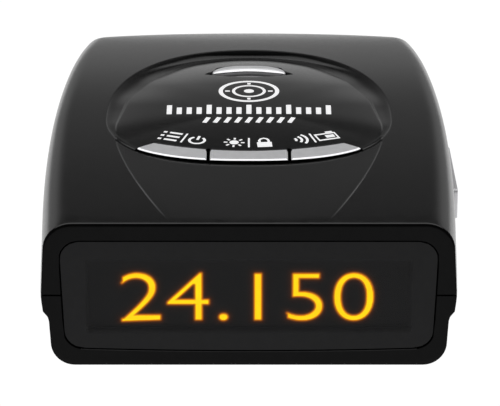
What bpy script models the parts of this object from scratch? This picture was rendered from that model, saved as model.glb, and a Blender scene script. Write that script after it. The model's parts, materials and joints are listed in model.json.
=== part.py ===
"""A compact windscreen radar detector.

It has two housings, a smoked display window, three control keys in an oval dish, a bracket-release bar,
a side strip with two keys, and the working parts inside.

Metres, +Z up. The origin is on the resting surface, below the middle of the body. The display faces -Y,
the antenna looks towards +Y, and X runs across the body. Lengths along the body are laid out from a datum
50 mm behind the display face, and the empty body_frame puts that datum in its place.
"""

import math

import bmesh
import bpy
from mathutils import Matrix, Vector

MM = 0.001
GAP = 0.3 * MM  # between pieces that touch on the real object
DATUM_Y = 1.55 * MM  # where the layout's datum lies, so that the origin is below the body's middle

# Body outline in plan, at the top of the side walls
FRONT_Y = -50.0 * MM
BACK_Y = 46.7 * MM
HALF_WIDTH = 32.9 * MM
WIDEST_Y = -22.9 * MM
SIDE_BOW = 472.0 * MM
BACK_BOW = 71.3 * MM
CORNER_RADIUS = 4.75 * MM

# Body heights
BASE_Z = 1.2 * MM
PARTING_Z = 12.6 * MM
FRONT_TOP_Z = 25.0 * MM
LEDGE_Z = 10.0 * MM
COVE_Z = 8.4 * MM
WALL = 1.8 * MM
FRONT_WALL = 2.2 * MM
WALL_DRAFT = math.tan(math.radians(3.0))

# Shoulder and base rounding, at the front end and at the back end
SHOULDER_FRONT = 4.6 * MM
SHOULDER_BACK = 3.0 * MM
BASE_ROUND_FRONT = 3.8 * MM
BASE_ROUND_BACK = 2.6 * MM

# Control dish in plan: two half ovals that meet at its widest line
DISH_Y = -7.0 * MM
DISH_HALF_WIDTH = 23.5 * MM
DISH_FRONT = 19.9 * MM
DISH_BACK = 34.4 * MM
DISH_FRONT_POWER = 2.41
DISH_BACK_POWER = 2.06
GROOVE_DEPTH = 1.1 * MM
GROOVE_WIDTH = 6.0 * MM

# Control keys
KEY_TOP_Z = 26.45 * MM
KEY_BACK_Y = -21.8 * MM
KEY_BACK_RADIUS = 38.0 * MM
KEY_FRONT_GAP = 1.25 * MM
CENTRE_KEY_HALF = 6.45 * MM
KEY_SPLIT = 0.5 * MM
KEY_SHOULDER_X = 15.5 * MM
KEY_TIP = (18.3 * MM, -20.6 * MM)
KEY_LIP_TOP_Z = 24.0 * MM
KEY_LIP = 0.8 * MM
PLUNGER_TOP_Z = 22.9 * MM
KEYPAD_BOARD_TOP_Z = 20.3 * MM

# Bracket release: bar, latch, spring and the channel that takes the windscreen bracket
BAR_HALF = 6.3 * MM
BAR_BACK_Y = 17.6 * MM
BAR_FRONT_Y = 14.7 * MM
BAR_BOW = 10.5 * MM
BAR_TOP_Z = 26.5 * MM
RECESS_HALF = 7.6 * MM
RECESS_BACK_Y = 18.0 * MM
RECESS_FRONT_Y = 10.5 * MM
RECESS_SIDE_Y = 12.4 * MM
RECESS_DEPTH = 0.8 * MM
CHANNEL_FRONT_Y = 21.0 * MM
CHANNEL_BACK_Y = 44.2 * MM
CHANNEL_HALF = 10.5 * MM
CHANNEL_FLOOR_Z = 16.6 * MM
CHANNEL_ROOF_Z = 19.1 * MM
CHANNEL_WALL = 1.0 * MM
LATCH_PLATE_Z = 14.2 * MM
SPRING_Y = 14.6 * MM
SPRING_BASE_Z = 10.8 * MM
SPRING_RADIUS = 1.9 * MM
SPRING_WIRE = 0.2 * MM
SPRING_TURNS = 3.0

# Display window
WINDOW_HALF_TOP = 29.55 * MM
WINDOW_HALF_BASE = 28.8 * MM
WINDOW_BASE_Z = 3.45 * MM
WINDOW_TOP_Z = 21.95 * MM
WINDOW_ROUND = 3.0 * MM

# Side strip on the right wall, about its own middle
STRIP_CENTRE = Vector((33.05 * MM, -12.5 * MM, 17.0 * MM))
STRIP_TURN = math.atan2(STRIP_CENTRE.y - WIDEST_Y, SIDE_BOW)
STRIP_LENGTH = 19.6 * MM
STRIP_HEIGHT = 5.2 * MM
STRIP_PROUD = 0.65 * MM
STRIP_INLAY = 0.6 * MM
SIDE_KEY_LENGTH = 6.6 * MM
SIDE_KEY_HEIGHT = 2.2 * MM
SIDE_KEY_PROUD = 0.25 * MM
SIDE_KEY_SPACING = 8.8 * MM

# Inside
MAIN_BOARD_Z = 9.0 * MM
MAIN_BOARD_TOP_Z = 10.4 * MM
MAIN_BOARD_HALF = 22.9 * MM
SPEAKER_Y = -20.0 * MM
SPEAKER_RADIUS = 12.0 * MM
HORN_FRONT_Y = 19.0 * MM
HORN_BACK_Y = 41.6 * MM
BOARD_SCREW = (20.0 * MM, -4.0 * MM)
HORN_SCREW = (17.5 * MM, 28.5 * MM)
HOUSING_SCREWS = {
    "front_left": (-26.5 * MM, -38.0 * MM),
    "front_right": (26.5 * MM, -38.0 * MM),
    "rear_left": (-25.5 * MM, 24.0 * MM),
    "rear_right": (25.5 * MM, 24.0 * MM),
}
FEET = {
    "front_foot": (0.0, -43.9 * MM),
    "rear_foot_left": (-21.0 * MM, 34.0 * MM),
    "rear_foot_right": (21.0 * MM, 34.0 * MM),
}
FOOT_RADIUS = 3.7 * MM

BLACK_PLASTIC = ("black_plastic", (0.018, 0.018, 0.019), 0.35, 0.0)
SMOKED = ("smoked_plastic", (0.012, 0.012, 0.013), 0.12, 0.0)
SILVER = ("silver", (0.50, 0.49, 0.485), 0.32, 0.85)
RUBBER = ("black_rubber", (0.02, 0.02, 0.02), 0.8, 0.0)
STEEL = ("steel", (0.45, 0.45, 0.44), 0.35, 1.0)
BRASS = ("plated_horn", (0.62, 0.58, 0.50), 0.4, 1.0)
BOARD = ("circuit_board", (0.02, 0.10, 0.05), 0.5, 0.0)
CHIP = ("chip_black", (0.03, 0.03, 0.03), 0.5, 0.0)
FLEX = ("ribbon_film", (0.35, 0.16, 0.03), 0.4, 0.0)
CERAMIC = ("ceramic", (0.55, 0.50, 0.42), 0.5, 0.0)
GLASS = ("display_glass", (0.02, 0.02, 0.025), 0.08, 0.0)


# ---------------------------------------------------------------- scene and objects


def clear_scene():
    for obj in list(bpy.data.objects):
        bpy.data.objects.remove(obj, do_unlink=True)


def new_collection(name):
    collection = bpy.data.collections.new(name)
    bpy.context.scene.collection.children.link(collection)
    return collection


def material(look):
    name, colour, roughness, metallic = look
    found = bpy.data.materials.get(name)
    if found:
        return found
    made = bpy.data.materials.new(name)
    made.use_nodes = True
    shader = made.node_tree.nodes["Principled BSDF"]
    shader.inputs["Base Color"].default_value = (*colour, 1.0)
    shader.inputs["Roughness"].default_value = roughness
    shader.inputs["Metallic"].default_value = metallic
    return made


def part(name, shape, look):
    """A named piece, from a mesh or a curve, with its own material."""
    obj = bpy.data.objects.new(name, shape)
    obj.parent = BODY_FRAME
    PARTS.objects.link(obj)
    obj.data.materials.append(material(look))
    return obj


def tool(mesh):
    """A hidden helper for a Boolean."""
    obj = bpy.data.objects.new("tool", mesh)
    obj.parent = BODY_FRAME
    TOOLS.objects.link(obj)
    obj.hide_render = True
    obj.display_type = "WIRE"
    return obj


def boolean(obj, mesh, operation):
    modifier = obj.modifiers.new(operation.lower(), "BOOLEAN")
    modifier.operation = operation
    modifier.object = tool(mesh)


def cut(obj, *meshes):
    for mesh in meshes:
        boolean(obj, mesh, "DIFFERENCE")


def join(obj, *meshes):
    for mesh in meshes:
        boolean(obj, mesh, "UNION")


def empty_at(name, place):
    empty = bpy.data.objects.new(name, None)
    empty.location = place
    empty.empty_display_size = 5 * MM
    PARTS.objects.link(empty)
    return empty


def joint_origin(name, place, *pieces):
    """An empty on a joint's axis, with the pieces that move together parented to it."""
    empty = empty_at(name, place)
    empty.parent = BODY_FRAME
    for piece in pieces:
        obj = bpy.data.objects[piece]
        obj.parent = empty
        obj.matrix_parent_inverse = Matrix.Translation(-Vector(place))


# ---------------------------------------------------------------- meshes


def finish(work):
    bmesh.ops.recalc_face_normals(work, faces=work.faces)
    mesh = bpy.data.meshes.new("shape")
    work.to_mesh(mesh)
    work.free()
    return mesh


def box(low, high, bevel=0.0):
    """A box between two corners, with every edge rounded where a bevel is given."""
    low = Vector(low)
    high = Vector(high)
    work = bmesh.new()
    size = Matrix.Diagonal((*(high - low), 1.0))
    bmesh.ops.create_cube(work, size=1.0, matrix=Matrix.Translation((low + high) / 2) @ size)
    if bevel:
        bmesh.ops.bevel(work, geom=work.edges[:], offset=bevel, segments=2, affect="EDGES", profile=0.5)
    return finish(work)


def cylinder(start, end, radius, end_radius=None, sides=24):
    """A cylinder or cone between two points."""
    start = Vector(start)
    end = Vector(end)
    along = end - start
    turn = along.to_track_quat("Z", "Y").to_matrix().to_4x4()
    work = bmesh.new()
    bmesh.ops.create_cone(
        work,
        cap_ends=True,
        segments=sides,
        radius1=radius,
        radius2=radius if end_radius is None else end_radius,
        depth=along.length,
        matrix=Matrix.Translation((start + end) / 2) @ turn,
    )
    return finish(work)


def tapered_box(front, back, front_y, back_y):
    """A box along Y whose section changes from one (half width, low z, high z) to another."""
    work = bmesh.new()
    bmesh.ops.create_cube(work, size=1.0)
    for vertex in work.verts:
        half, low, high = front if vertex.co.y < 0 else back
        vertex.co = (
            math.copysign(half, vertex.co.x),
            front_y if vertex.co.y < 0 else back_y,
            low if vertex.co.z < 0 else high,
        )
    return finish(work)


def rounded_window(grow, front_y, back_y, base_grow=None):
    """The window's outline, a little narrower at its base, as a plate along Y."""
    base_grow = grow if base_grow is None else base_grow
    work = bmesh.new()
    bmesh.ops.create_cube(work, size=1.0)
    for vertex in work.verts:
        half = WINDOW_HALF_TOP if vertex.co.z > 0 else WINDOW_HALF_BASE
        vertex.co = (
            math.copysign(half + grow, vertex.co.x),
            front_y if vertex.co.y < 0 else back_y,
            WINDOW_TOP_Z + grow if vertex.co.z > 0 else WINDOW_BASE_Z - base_grow,
        )
    corners = [e for e in work.edges if abs(e.verts[0].co.y - e.verts[1].co.y) > 0.5 * (back_y - front_y)]
    bmesh.ops.bevel(work, geom=corners, offset=WINDOW_ROUND + grow, segments=6, affect="EDGES", profile=0.5)
    return finish(work)


def outline_solid(points, low_z, high_z):
    """A flat outline given a thickness: a 2D curve made into a welded mesh."""
    curve = bpy.data.curves.new("outline", "CURVE")
    curve.dimensions = "2D"
    curve.fill_mode = "BOTH"
    curve.extrude = (high_z - low_z) / 2
    spline = curve.splines.new("POLY")
    spline.points.add(len(points) - 1)
    for point, (x, y) in zip(spline.points, points):
        point.co = (x, y, 0.0, 1.0)
    spline.use_cyclic_u = True
    obj = bpy.data.objects.new("outline", curve)
    TOOLS.objects.link(obj)
    graph = bpy.context.evaluated_depsgraph_get()
    work = bmesh.new()
    mesh = bpy.data.meshes.new_from_object(obj.evaluated_get(graph))
    work.from_mesh(mesh)
    bpy.data.objects.remove(obj)
    bmesh.ops.remove_doubles(work, verts=work.verts, dist=1e-6)
    bmesh.ops.translate(work, verts=work.verts, vec=(0.0, 0.0, (low_z + high_z) / 2))
    return finish(work)


def moved(mesh, matrix):
    mesh.transform(matrix)
    return mesh


def loft(rings):
    """Half a body on +X: U-shaped rings joined one to the next, closed across both ends and the front.

    Each ring runs from the front to the middle of the back. The half is open at X = 0 for a Mirror.
    """
    work = bmesh.new()
    rows = [[work.verts.new(point) for point in ring] for ring in rings]
    for upper, lower in zip(rows, rows[1:]):
        for i in range(len(upper) - 1):
            work.faces.new((upper[i], upper[i + 1], lower[i + 1], lower[i]))
    for row in (rows[0], rows[-1]):
        middle = [work.verts.new((0.0, v.co.y, v.co.z)) for v in row[:-1]]
        middle.append(row[-1])
        for i in range(len(row) - 1):
            corners = [row[i], row[i + 1], middle[i + 1], middle[i]]
            work.faces.new(list(dict.fromkeys(corners)))
        row.append(middle[0])
    front = [row[0] for row in rows]
    work.faces.new(front + [rows[-1][-1], rows[0][-1]])
    return finish(work)


def mirrored(mesh):
    """The mesh with its other half, as a plain mesh that a Boolean can use."""
    obj = bpy.data.objects.new("half", mesh)
    TOOLS.objects.link(obj)
    modifier = obj.modifiers.new("mirror", "MIRROR")
    modifier.merge_threshold = 1e-6
    graph = bpy.context.evaluated_depsgraph_get()
    whole = bpy.data.meshes.new_from_object(obj.evaluated_get(graph))
    bpy.data.objects.remove(obj)
    return whole


# ---------------------------------------------------------------- body outline


def mix(a, b, share):
    return a + (b - a) * min(max(share, 0.0), 1.0)


def along_body(y):
    """0 at the front face, 1 from the middle of the body back."""
    return (y - FRONT_Y) / (45.0 * MM)


def crown(y):
    """Height of the top skin along the middle: it rises gently, then falls away behind the dish."""
    run = (y - FRONT_Y) / MM
    fall = max(y / MM + 4.5, 0.0)
    return FRONT_TOP_Z + (0.055 * run - 0.0004 * run**2 - 3e-5 * fall**3) * MM


def plan(front_y):
    """Half outline as (point, outward normal): the side bow, the rear corner, then half the back bow."""
    side = Vector((HALF_WIDTH - SIDE_BOW, WIDEST_Y))
    back = Vector((0.0, BACK_Y - BACK_BOW))
    reach_side = SIDE_BOW - CORNER_RADIUS
    reach_back = BACK_BOW - CORNER_RADIUS
    span = back - side
    near = (reach_side**2 - reach_back**2 + span.length_squared) / (2 * span.length)
    up = math.sqrt(reach_side**2 - near**2)
    across = span.normalized()
    corner = side + across * near + Vector((-across.y, across.x)) * up
    side_end = (corner - side).angle_signed(Vector((1, 0)))
    back_start = (corner - back).angle_signed(Vector((1, 0)))
    side_start = math.asin((front_y - WIDEST_Y) / SIDE_BOW)
    arcs = (
        (side, SIDE_BOW, side_start, side_end, 7),
        (corner, CORNER_RADIUS, side_end, back_start, 5),
        (back, BACK_BOW, back_start, math.pi / 2, 7),
    )
    found = []
    for centre, radius, start, end, steps in arcs:
        for i in range(0 if not found else 1, steps + 1):
            angle = mix(start, end, i / steps)
            normal = Vector((math.cos(angle), math.sin(angle)))
            found.append((centre + normal * radius, normal))
    return found


def ring(front_y, inset_at, height_at):
    """One U-shaped ring: the plan moved in by inset_at(y), at height_at(y)."""
    found = []
    for point, normal in plan(front_y):
        place = point - normal * inset_at(point.y)
        if not found:
            place.y = front_y
        found.append((place.x, place.y, height_at(place.y)))
    found[-1] = (0.0, found[-1][1], found[-1][2])
    return found


def shoulder(y):
    return mix(SHOULDER_FRONT, SHOULDER_BACK, along_body(y))


def base_round(y):
    return mix(BASE_ROUND_FRONT, BASE_ROUND_BACK, along_body(y))


def upper_body(skin, front_y, low_z):
    """The upper half of the body, or its hollow when skin is the wall's thickness."""
    rings = []
    for step in range(7):
        angle = math.radians(15.0 * step)
        rings.append(
            ring(
                front_y,
                lambda y, a=angle: skin + (shoulder(y) - skin) * (1 - math.sin(a)),
                lambda y, a=angle: crown(y) - skin - (shoulder(y) - skin) * (1 - math.cos(a)),
            )
        )
    rings.append(
        ring(front_y, lambda y: skin - (crown(y) - shoulder(y) - low_z) * WALL_DRAFT, lambda y: low_z)
    )
    return mirrored(loft(rings))


def lower_body(skin, front_y, high_z):
    """The lower half: a straight band, the cove under the ledge, the leaning wall and the rounded base."""
    floor_z = BASE_Z + skin
    profile = [(-0.41 * MM, high_z), (-0.12 * MM, LEDGE_Z), (0.55 * MM, 9.2 * MM), (0.78 * MM, COVE_Z)]
    rings = [ring(front_y, lambda y, i=inset: skin + i, lambda y, h=height: h) for inset, height in profile]
    lean = 1.14 * MM
    for step in range(6):
        angle = math.radians(18.0 * step)
        rings.append(
            ring(
                front_y,
                lambda y, a=angle: skin + lean + max(base_round(y) - skin, 0.6 * MM) * (1 - math.cos(a)),
                lambda y, a=angle: floor_z + max(base_round(y) - skin, 0.6 * MM) * (1 - math.sin(a)),
            )
        )
    return mirrored(loft(rings))


# ---------------------------------------------------------------- dish, keys and bar outlines


def dish_rim(angle, inset=0.0):
    """A point of the dish's rim. The angle runs from +X, so the back of the dish is at a right angle."""
    is_back = math.sin(angle) > 0
    power = 2.0 / (DISH_BACK_POWER if is_back else DISH_FRONT_POWER)
    reach = (DISH_BACK if is_back else DISH_FRONT) - inset
    x = math.copysign(abs(math.cos(angle)) ** power, math.cos(angle)) * (DISH_HALF_WIDTH - inset)
    y = math.copysign(abs(math.sin(angle)) ** power, math.sin(angle)) * reach
    return x, DISH_Y + y


def dish_front_y(x):
    """The rim's front edge at a distance x from the middle."""
    share = 1.0 - (abs(x) / DISH_HALF_WIDTH) ** DISH_FRONT_POWER
    return DISH_Y - DISH_FRONT * share ** (1.0 / DISH_FRONT_POWER)


def key_back_y(x):
    return KEY_BACK_Y + KEY_BACK_RADIUS - math.sqrt(KEY_BACK_RADIUS**2 - x * x)


def key_front_y(x):
    """The keys' front edge: the rim, less a gap that closes towards the tips."""
    return dish_front_y(x) + KEY_FRONT_GAP - 0.65 * MM * (x / KEY_TIP[0]) ** 2


def key_outline(start_x, end_x, grow=0.0):
    """A key's outline between two distances from the middle. grow widens it to the front and the back."""
    tip = end_x > KEY_SHOULDER_X
    back_end = KEY_SHOULDER_X if tip else end_x
    steps = 6
    back = [mix(start_x, back_end, i / steps) for i in range(steps + 1)]
    front = [mix(KEY_TIP[0] if tip else end_x, start_x, i / steps) for i in range(steps + 1)]
    points = [(x, key_back_y(x) + grow) for x in back]
    if tip:
        points.append((KEY_TIP[0] + grow, KEY_TIP[1] + 0.5 * grow))
    points += [(x, key_front_y(x) - grow) for x in front if x < KEY_TIP[0]]
    return points


def mirrored_outline(points):
    return [(-x, y) for x, y in reversed(points)]


def key_slot_outline():
    """One opening for all three keys, from behind them to the rim in front of them."""
    steps = 14
    reach = KEY_TIP[0] + 0.75 * MM
    shoulder_x = KEY_SHOULDER_X + GAP
    backs = [mix(-shoulder_x, shoulder_x, i / steps) for i in range(steps + 1)]
    fronts = [mix(reach, -reach, i / steps) for i in range(steps + 1)]
    points = [(x, key_back_y(x) + GAP) for x in backs]
    return points + [(x, dish_front_y(x)) for x in fronts]


def bar_outline(grow=0.0):
    """The release bar: two bowed edges and rounded ends."""
    steps = 8
    half = BAR_HALF + grow
    across = [mix(-half, half, i / steps) for i in range(steps + 1)]
    back = [(x * 0.86, BAR_BACK_Y + grow - (x * 0.86) ** 2 / (2 * BAR_BOW)) for x in across]
    front = [(x, BAR_FRONT_Y - grow - x * x / (2 * BAR_BOW)) for x in reversed(across)]
    return back + front


def recess_outline():
    """The lens-shaped recess round the release bar."""
    steps = 12
    across = [mix(-1.0, 1.0, i / steps) for i in range(steps + 1)]
    back = [(x * RECESS_HALF, mix(RECESS_BACK_Y, RECESS_SIDE_Y, x * x)) for x in across]
    front = [(x * RECESS_HALF, mix(RECESS_FRONT_Y, RECESS_SIDE_Y, x * x)) for x in reversed(across[1:-1])]
    return back + front


# ---------------------------------------------------------------- housings


def groove():
    """The crescent groove inside the back of the dish rim, deepest at the back."""
    steps = 16
    work = bmesh.new()
    rows = []
    for i in range(steps + 1):
        angle = math.radians(mix(14.0, 166.0, i / steps))
        depth = GROOVE_DEPTH * math.sin(angle) ** 0.7
        rim = Vector((*dish_rim(angle), 0.0))
        middle = Vector((*dish_rim(angle, 0.45 * GROOVE_WIDTH), 0.0))
        inner = Vector((*dish_rim(angle, GROOVE_WIDTH), 0.0))
        heights = ((rim, 0.0), (middle, -depth), (inner, -0.25 * depth), (inner, MM), (rim, MM))
        rows.append([work.verts.new((p.x, p.y, crown(p.y) + h)) for p, h in heights])
    for first, second in zip(rows, rows[1:]):
        for j in range(5):
            work.faces.new((first[j], first[(j + 1) % 5], second[(j + 1) % 5], second[j]))
    work.faces.new(rows[0])
    work.faces.new(rows[-1])
    return finish(work)


def port_cuts():
    """Openings in the left wall for the three sockets, which cross the parting line."""
    outside = -36.0 * MM
    inside = -30.5 * MM
    cutters = [
        cylinder((outside, y, PARTING_Z), (inside, y, PARTING_Z), radius)
        for y, radius in ((-16.0 * MM, 2.6 * MM), (-4.0 * MM, 2.4 * MM))
    ]
    low = (outside, -31.7 * MM, PARTING_Z - 1.9 * MM)
    high = (inside, -22.3 * MM, PARTING_Z + 1.9 * MM)
    cutters.append(box(low, high, 0.6 * MM))
    return cutters


def rear_opening():
    return box((-22.3 * MM, 38.0 * MM, 4.9 * MM), (22.3 * MM, 50.0 * MM, 15.2 * MM))


def strip_place(mesh):
    """From the side strip's own frame, +X outwards, to the body's."""
    return moved(mesh, Matrix.Translation(STRIP_CENTRE) @ Matrix.Rotation(STRIP_TURN, 4, "Z"))


def strip_cuts():
    half = STRIP_LENGTH / 2 + GAP
    tall = STRIP_HEIGHT / 2 + GAP
    pocket = box((-STRIP_INLAY - GAP, -half, -tall), (3.0 * MM, half, tall))
    cuts = [strip_place(pocket)]
    for side in (-1, 1):
        y = side * SIDE_KEY_SPACING / 2
        reach = SIDE_KEY_LENGTH / 2 + GAP
        rise = SIDE_KEY_HEIGHT / 2 + GAP
        cuts.append(strip_place(box((-4.0 * MM, y - reach, -rise), (3.0 * MM, y + reach, rise))))
    return cuts


def top_housing():
    obj = part("top_housing", upper_body(0.0, FRONT_Y, PARTING_Z + GAP / 2), BLACK_PLASTIC)
    cut(obj, upper_body(WALL, FRONT_Y + FRONT_WALL, PARTING_Z - 2 * MM))
    for x, y in HOUSING_SCREWS.values():
        join(obj, cylinder((x, y, PARTING_Z + GAP), (x, y, crown(y) - WALL + 0.5 * MM), 3.0 * MM))
        cut(obj, cylinder((x, y, PARTING_Z - MM), (x, y, 20.4 * MM), 1.45 * MM, sides=16))
    cut(obj, rounded_window(GAP, FRONT_Y - MM, FRONT_Y + FRONT_WALL + MM))
    cut(obj, groove())
    cut(obj, outline_solid(key_slot_outline(), 22.0 * MM, 28.0 * MM))
    bar_z = crown(BAR_FRONT_Y)
    cut(obj, outline_solid(recess_outline(), bar_z - RECESS_DEPTH, bar_z + MM))
    cut(obj, outline_solid(bar_outline(GAP), bar_z - 4 * MM, bar_z + MM))
    cut(obj, rear_opening(), *port_cuts(), *strip_cuts())
    slot_half = CHANNEL_HALF + CHANNEL_WALL + GAP
    slot_low = (-slot_half, 38.0 * MM, CHANNEL_FLOOR_Z - CHANNEL_WALL - GAP)
    cut(obj, box(slot_low, (slot_half, 50.0 * MM, CHANNEL_ROOF_Z + CHANNEL_WALL + GAP)))


def bottom_housing():
    obj = part("bottom_housing", lower_body(0.0, FRONT_Y, PARTING_Z - GAP / 2), BLACK_PLASTIC)
    cut(obj, lower_body(WALL, FRONT_Y + FRONT_WALL, PARTING_Z + 2 * MM))
    floor_z = BASE_Z + WALL
    for x, y in HOUSING_SCREWS.values():
        join(obj, cylinder((x, y, floor_z - 0.5 * MM), (x, y, PARTING_Z - GAP), 3.2 * MM))
        cut(obj, cylinder((x, y, 0.0), (x, y, 4.8 * MM), 2.5 * MM))
        cut(obj, cylinder((x, y, 0.0), (x, y, PARTING_Z + MM), 1.45 * MM, sides=16))
    for (x, y), top_z in ((BOARD_SCREW, MAIN_BOARD_Z), (HORN_SCREW, 6.0 * MM)):
        for side in (-1, 1):
            post = (side * x, y, top_z - GAP)
            join(obj, cylinder((side * x, y, floor_z - 0.5 * MM), post, 2.3 * MM))
            bore_low = (side * x, y, floor_z + 0.5 * MM)
            cut(obj, cylinder(bore_low, (side * x, y, top_z + MM), 1.25 * MM, sides=16))
    for x, y in FEET.values():
        cut(obj, cylinder((x, y, 0.0), (x, y, BASE_Z + 0.5 * MM), FOOT_RADIUS + GAP))
    for i in range(5):
        y = SPEAKER_Y + (i - 2) * 3.0 * MM
        cut(obj, box((-6.0 * MM, y - 0.6 * MM, 0.0), (6.0 * MM, y + 0.6 * MM, floor_z + MM)))
    cut(obj, rounded_window(GAP, FRONT_Y - MM, FRONT_Y + FRONT_WALL + MM))
    cut(obj, rear_opening(), *port_cuts())


def windows():
    plate = rounded_window(0.0, FRONT_Y + 0.15 * MM, FRONT_Y + FRONT_WALL + 0.4 * MM)
    pane = part("display_window", plate, SMOKED)
    join(pane, rounded_window(0.4 * MM, FRONT_Y + FRONT_WALL + GAP, FRONT_Y + FRONT_WALL + MM, -0.15 * MM))
    steps = 10
    half = 22.0 * MM
    across = [mix(-half, half, i / steps) for i in range(steps + 1)]
    bow = [BACK_Y - x * x / (2 * BACK_BOW) for x in across]
    outer = [(x, y - 1.3 * MM) for x, y in zip(across, bow)]
    inner = [(x, y - 2.8 * MM) for x, y in reversed(list(zip(across, bow)))]
    part("rear_window", outline_solid(outer + inner, 5.2 * MM, 14.9 * MM), SMOKED)


# ---------------------------------------------------------------- keys and switches


def control_keys():
    """Each key is a bar with a retaining lip below the skin. Its switch plunger stands under it."""
    side_start = CENTRE_KEY_HALF + KEY_SPLIT
    side_bar = key_outline(side_start, KEY_TIP[0])
    side_lip = key_outline(side_start, KEY_TIP[0], KEY_LIP)
    centre_right = key_outline(0.0, CENTRE_KEY_HALF)
    lip_right = key_outline(0.0, CENTRE_KEY_HALF, KEY_LIP)
    shapes = {
        "left_key": (mirrored_outline(side_bar), mirrored_outline(side_lip)),
        "centre_key": (whole_outline(centre_right), whole_outline(lip_right)),
        "right_key": (side_bar, side_lip),
    }
    for name, (bar, lip) in shapes.items():
        key = part(name, outline_solid(bar, KEY_LIP_TOP_Z - GAP, KEY_TOP_Z), SILVER)
        bevel = key.modifiers.new("edges", "BEVEL")
        bevel.width = 0.25 * MM
        bevel.segments = 2
        bevel.angle_limit = math.radians(50)
        join(key, outline_solid(lip, KEY_LIP_TOP_Z - 0.8 * MM, KEY_LIP_TOP_Z))


def whole_outline(right):
    """A symmetric outline from its +X half, which starts and ends at X = 0."""
    count = sum(1 for x, y in right if y > (KEY_BACK_Y + DISH_Y - DISH_FRONT) / 2)
    back = right[:count]
    front = right[count:]
    left_back = [(-x, y) for x, y in reversed(back[1:])]
    left_front = [(-x, y) for x, y in reversed(front[:-1])]
    return left_back + back + front + left_front


def keypad():
    """The keypad board with three switch bodies and the plungers that the keys press."""
    low = (-20.0 * MM, -27.0 * MM, KEYPAD_BOARD_TOP_Z - MM)
    part("keypad_board", box(low, (20.0 * MM, -17.5 * MM, KEYPAD_BOARD_TOP_Z)), BOARD)
    for side, x in (("left", -12.0 * MM), ("centre", 0.0), ("right", 12.0 * MM)):
        y = (key_back_y(x) + key_front_y(x)) / 2
        half = 2.4 * MM
        base_z = KEYPAD_BOARD_TOP_Z + GAP
        body = box((x - half, y - half, base_z), (x + half, y + half, base_z + 1.6 * MM), 0.2 * MM)
        switch = part(f"{side}_switch", body, CHIP)
        cut(switch, cylinder((x, y, base_z - MM), (x, y, base_z + 3 * MM), 1.3 * MM, sides=20))
        part(f"{side}_plunger", cylinder((x, y, base_z + 0.7 * MM), (x, y, PLUNGER_TOP_Z), 1.0 * MM), STEEL)
        joint_origin(f"{side}_key_press", (x, y, KEY_TOP_Z), f"{side}_key", f"{side}_plunger")


def side_keys():
    """The strip let into the right wall, its two keys, and their switches on an upright board."""
    half = STRIP_LENGTH / 2
    tall = STRIP_HEIGHT / 2
    plate = strip_place(box((-STRIP_INLAY, -half, -tall), (STRIP_PROUD, half, tall), 0.35 * MM))
    strip = part("side_trim", plate, SILVER)
    board = strip_place(box((-8.2 * MM, -12.0 * MM, -4.0 * MM), (-7.2 * MM, 12.0 * MM, 4.0 * MM)))
    part("side_board", board, BOARD)
    rise = SIDE_KEY_HEIGHT / 2
    for name, side in (("side_key_front", -1), ("side_key_rear", 1)):
        y = side * SIDE_KEY_SPACING / 2
        reach = SIDE_KEY_LENGTH / 2
        hole = box((-3 * MM, y - reach - GAP, -rise - GAP), (3 * MM, y + reach + GAP, rise + GAP))
        cut(strip, strip_place(hole))
        outer = STRIP_PROUD + SIDE_KEY_PROUD
        bar = box((-2.9 * MM, y - reach, -rise), (outer, y + reach, rise), 0.25 * MM)
        key = part(name, strip_place(bar), SILVER)
        lip_low = (-3.4 * MM, y - reach - 0.8 * MM, -rise - 0.8 * MM)
        join(key, strip_place(box(lip_low, (-2.4 * MM, y + reach + 0.8 * MM, rise + 0.8 * MM))))
        body = box((-6.9 * MM, y - 2.2 * MM, -2.2 * MM), (-5.2 * MM, y + 2.2 * MM, 2.2 * MM), 0.2 * MM)
        switch = part(f"{name}_switch", strip_place(body), CHIP)
        cut(switch, strip_place(cylinder((-8 * MM, y, 0), (-4 * MM, y, 0), 1.2 * MM, sides=20)))
        plunger = cylinder((-6.2 * MM, y, 0), (-3.7 * MM, y, 0), 0.9 * MM)
        part(f"{name}_plunger", strip_place(plunger), STEEL)
        turn = Matrix.Rotation(STRIP_TURN, 4, "Z")
        place = Matrix.Translation(STRIP_CENTRE) @ turn @ Vector((0.0, y, 0.0))
        joint_origin(f"{name}_press", place, name, f"{name}_plunger")


# ---------------------------------------------------------------- bracket release


def release():
    """The bar, the latch that it carries, the latch spring and the channel for the bracket's tongue."""
    skin_z = crown(BAR_FRONT_Y) - WALL
    bar = part("release_bar", outline_solid(bar_outline(), skin_z - 0.6 * MM, BAR_TOP_Z), SILVER)
    bevel = bar.modifiers.new("edges", "BEVEL")
    bevel.width = 0.35 * MM
    bevel.segments = 3
    bevel.angle_limit = math.radians(50)
    join(bar, outline_solid(bar_outline(0.8 * MM), skin_z - 1.1 * MM, skin_z - 0.4 * MM))
    stem_top = skin_z - 1.4 * MM
    plate_top = LATCH_PLATE_Z + MM
    plate = box((-4 * MM, 12.9 * MM, LATCH_PLATE_Z), (4 * MM, 25.2 * MM, plate_top))
    latch = part("bracket_latch", plate, BLACK_PLASTIC)
    join(latch, box((-2 * MM, 13.2 * MM, plate_top - 0.5 * MM), (2 * MM, 15.8 * MM, stem_top)))
    tooth_top = (3 * MM, 25.0 * MM, CHANNEL_FLOOR_Z + 0.8 * MM)
    join(latch, box((-3 * MM, 23.5 * MM, plate_top - 0.5 * MM), tooth_top))
    joint_origin("release_bar_press", (0.0, SPRING_Y, BAR_TOP_Z), "release_bar", "bracket_latch")
    latch_spring()
    bracket_channel()


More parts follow.
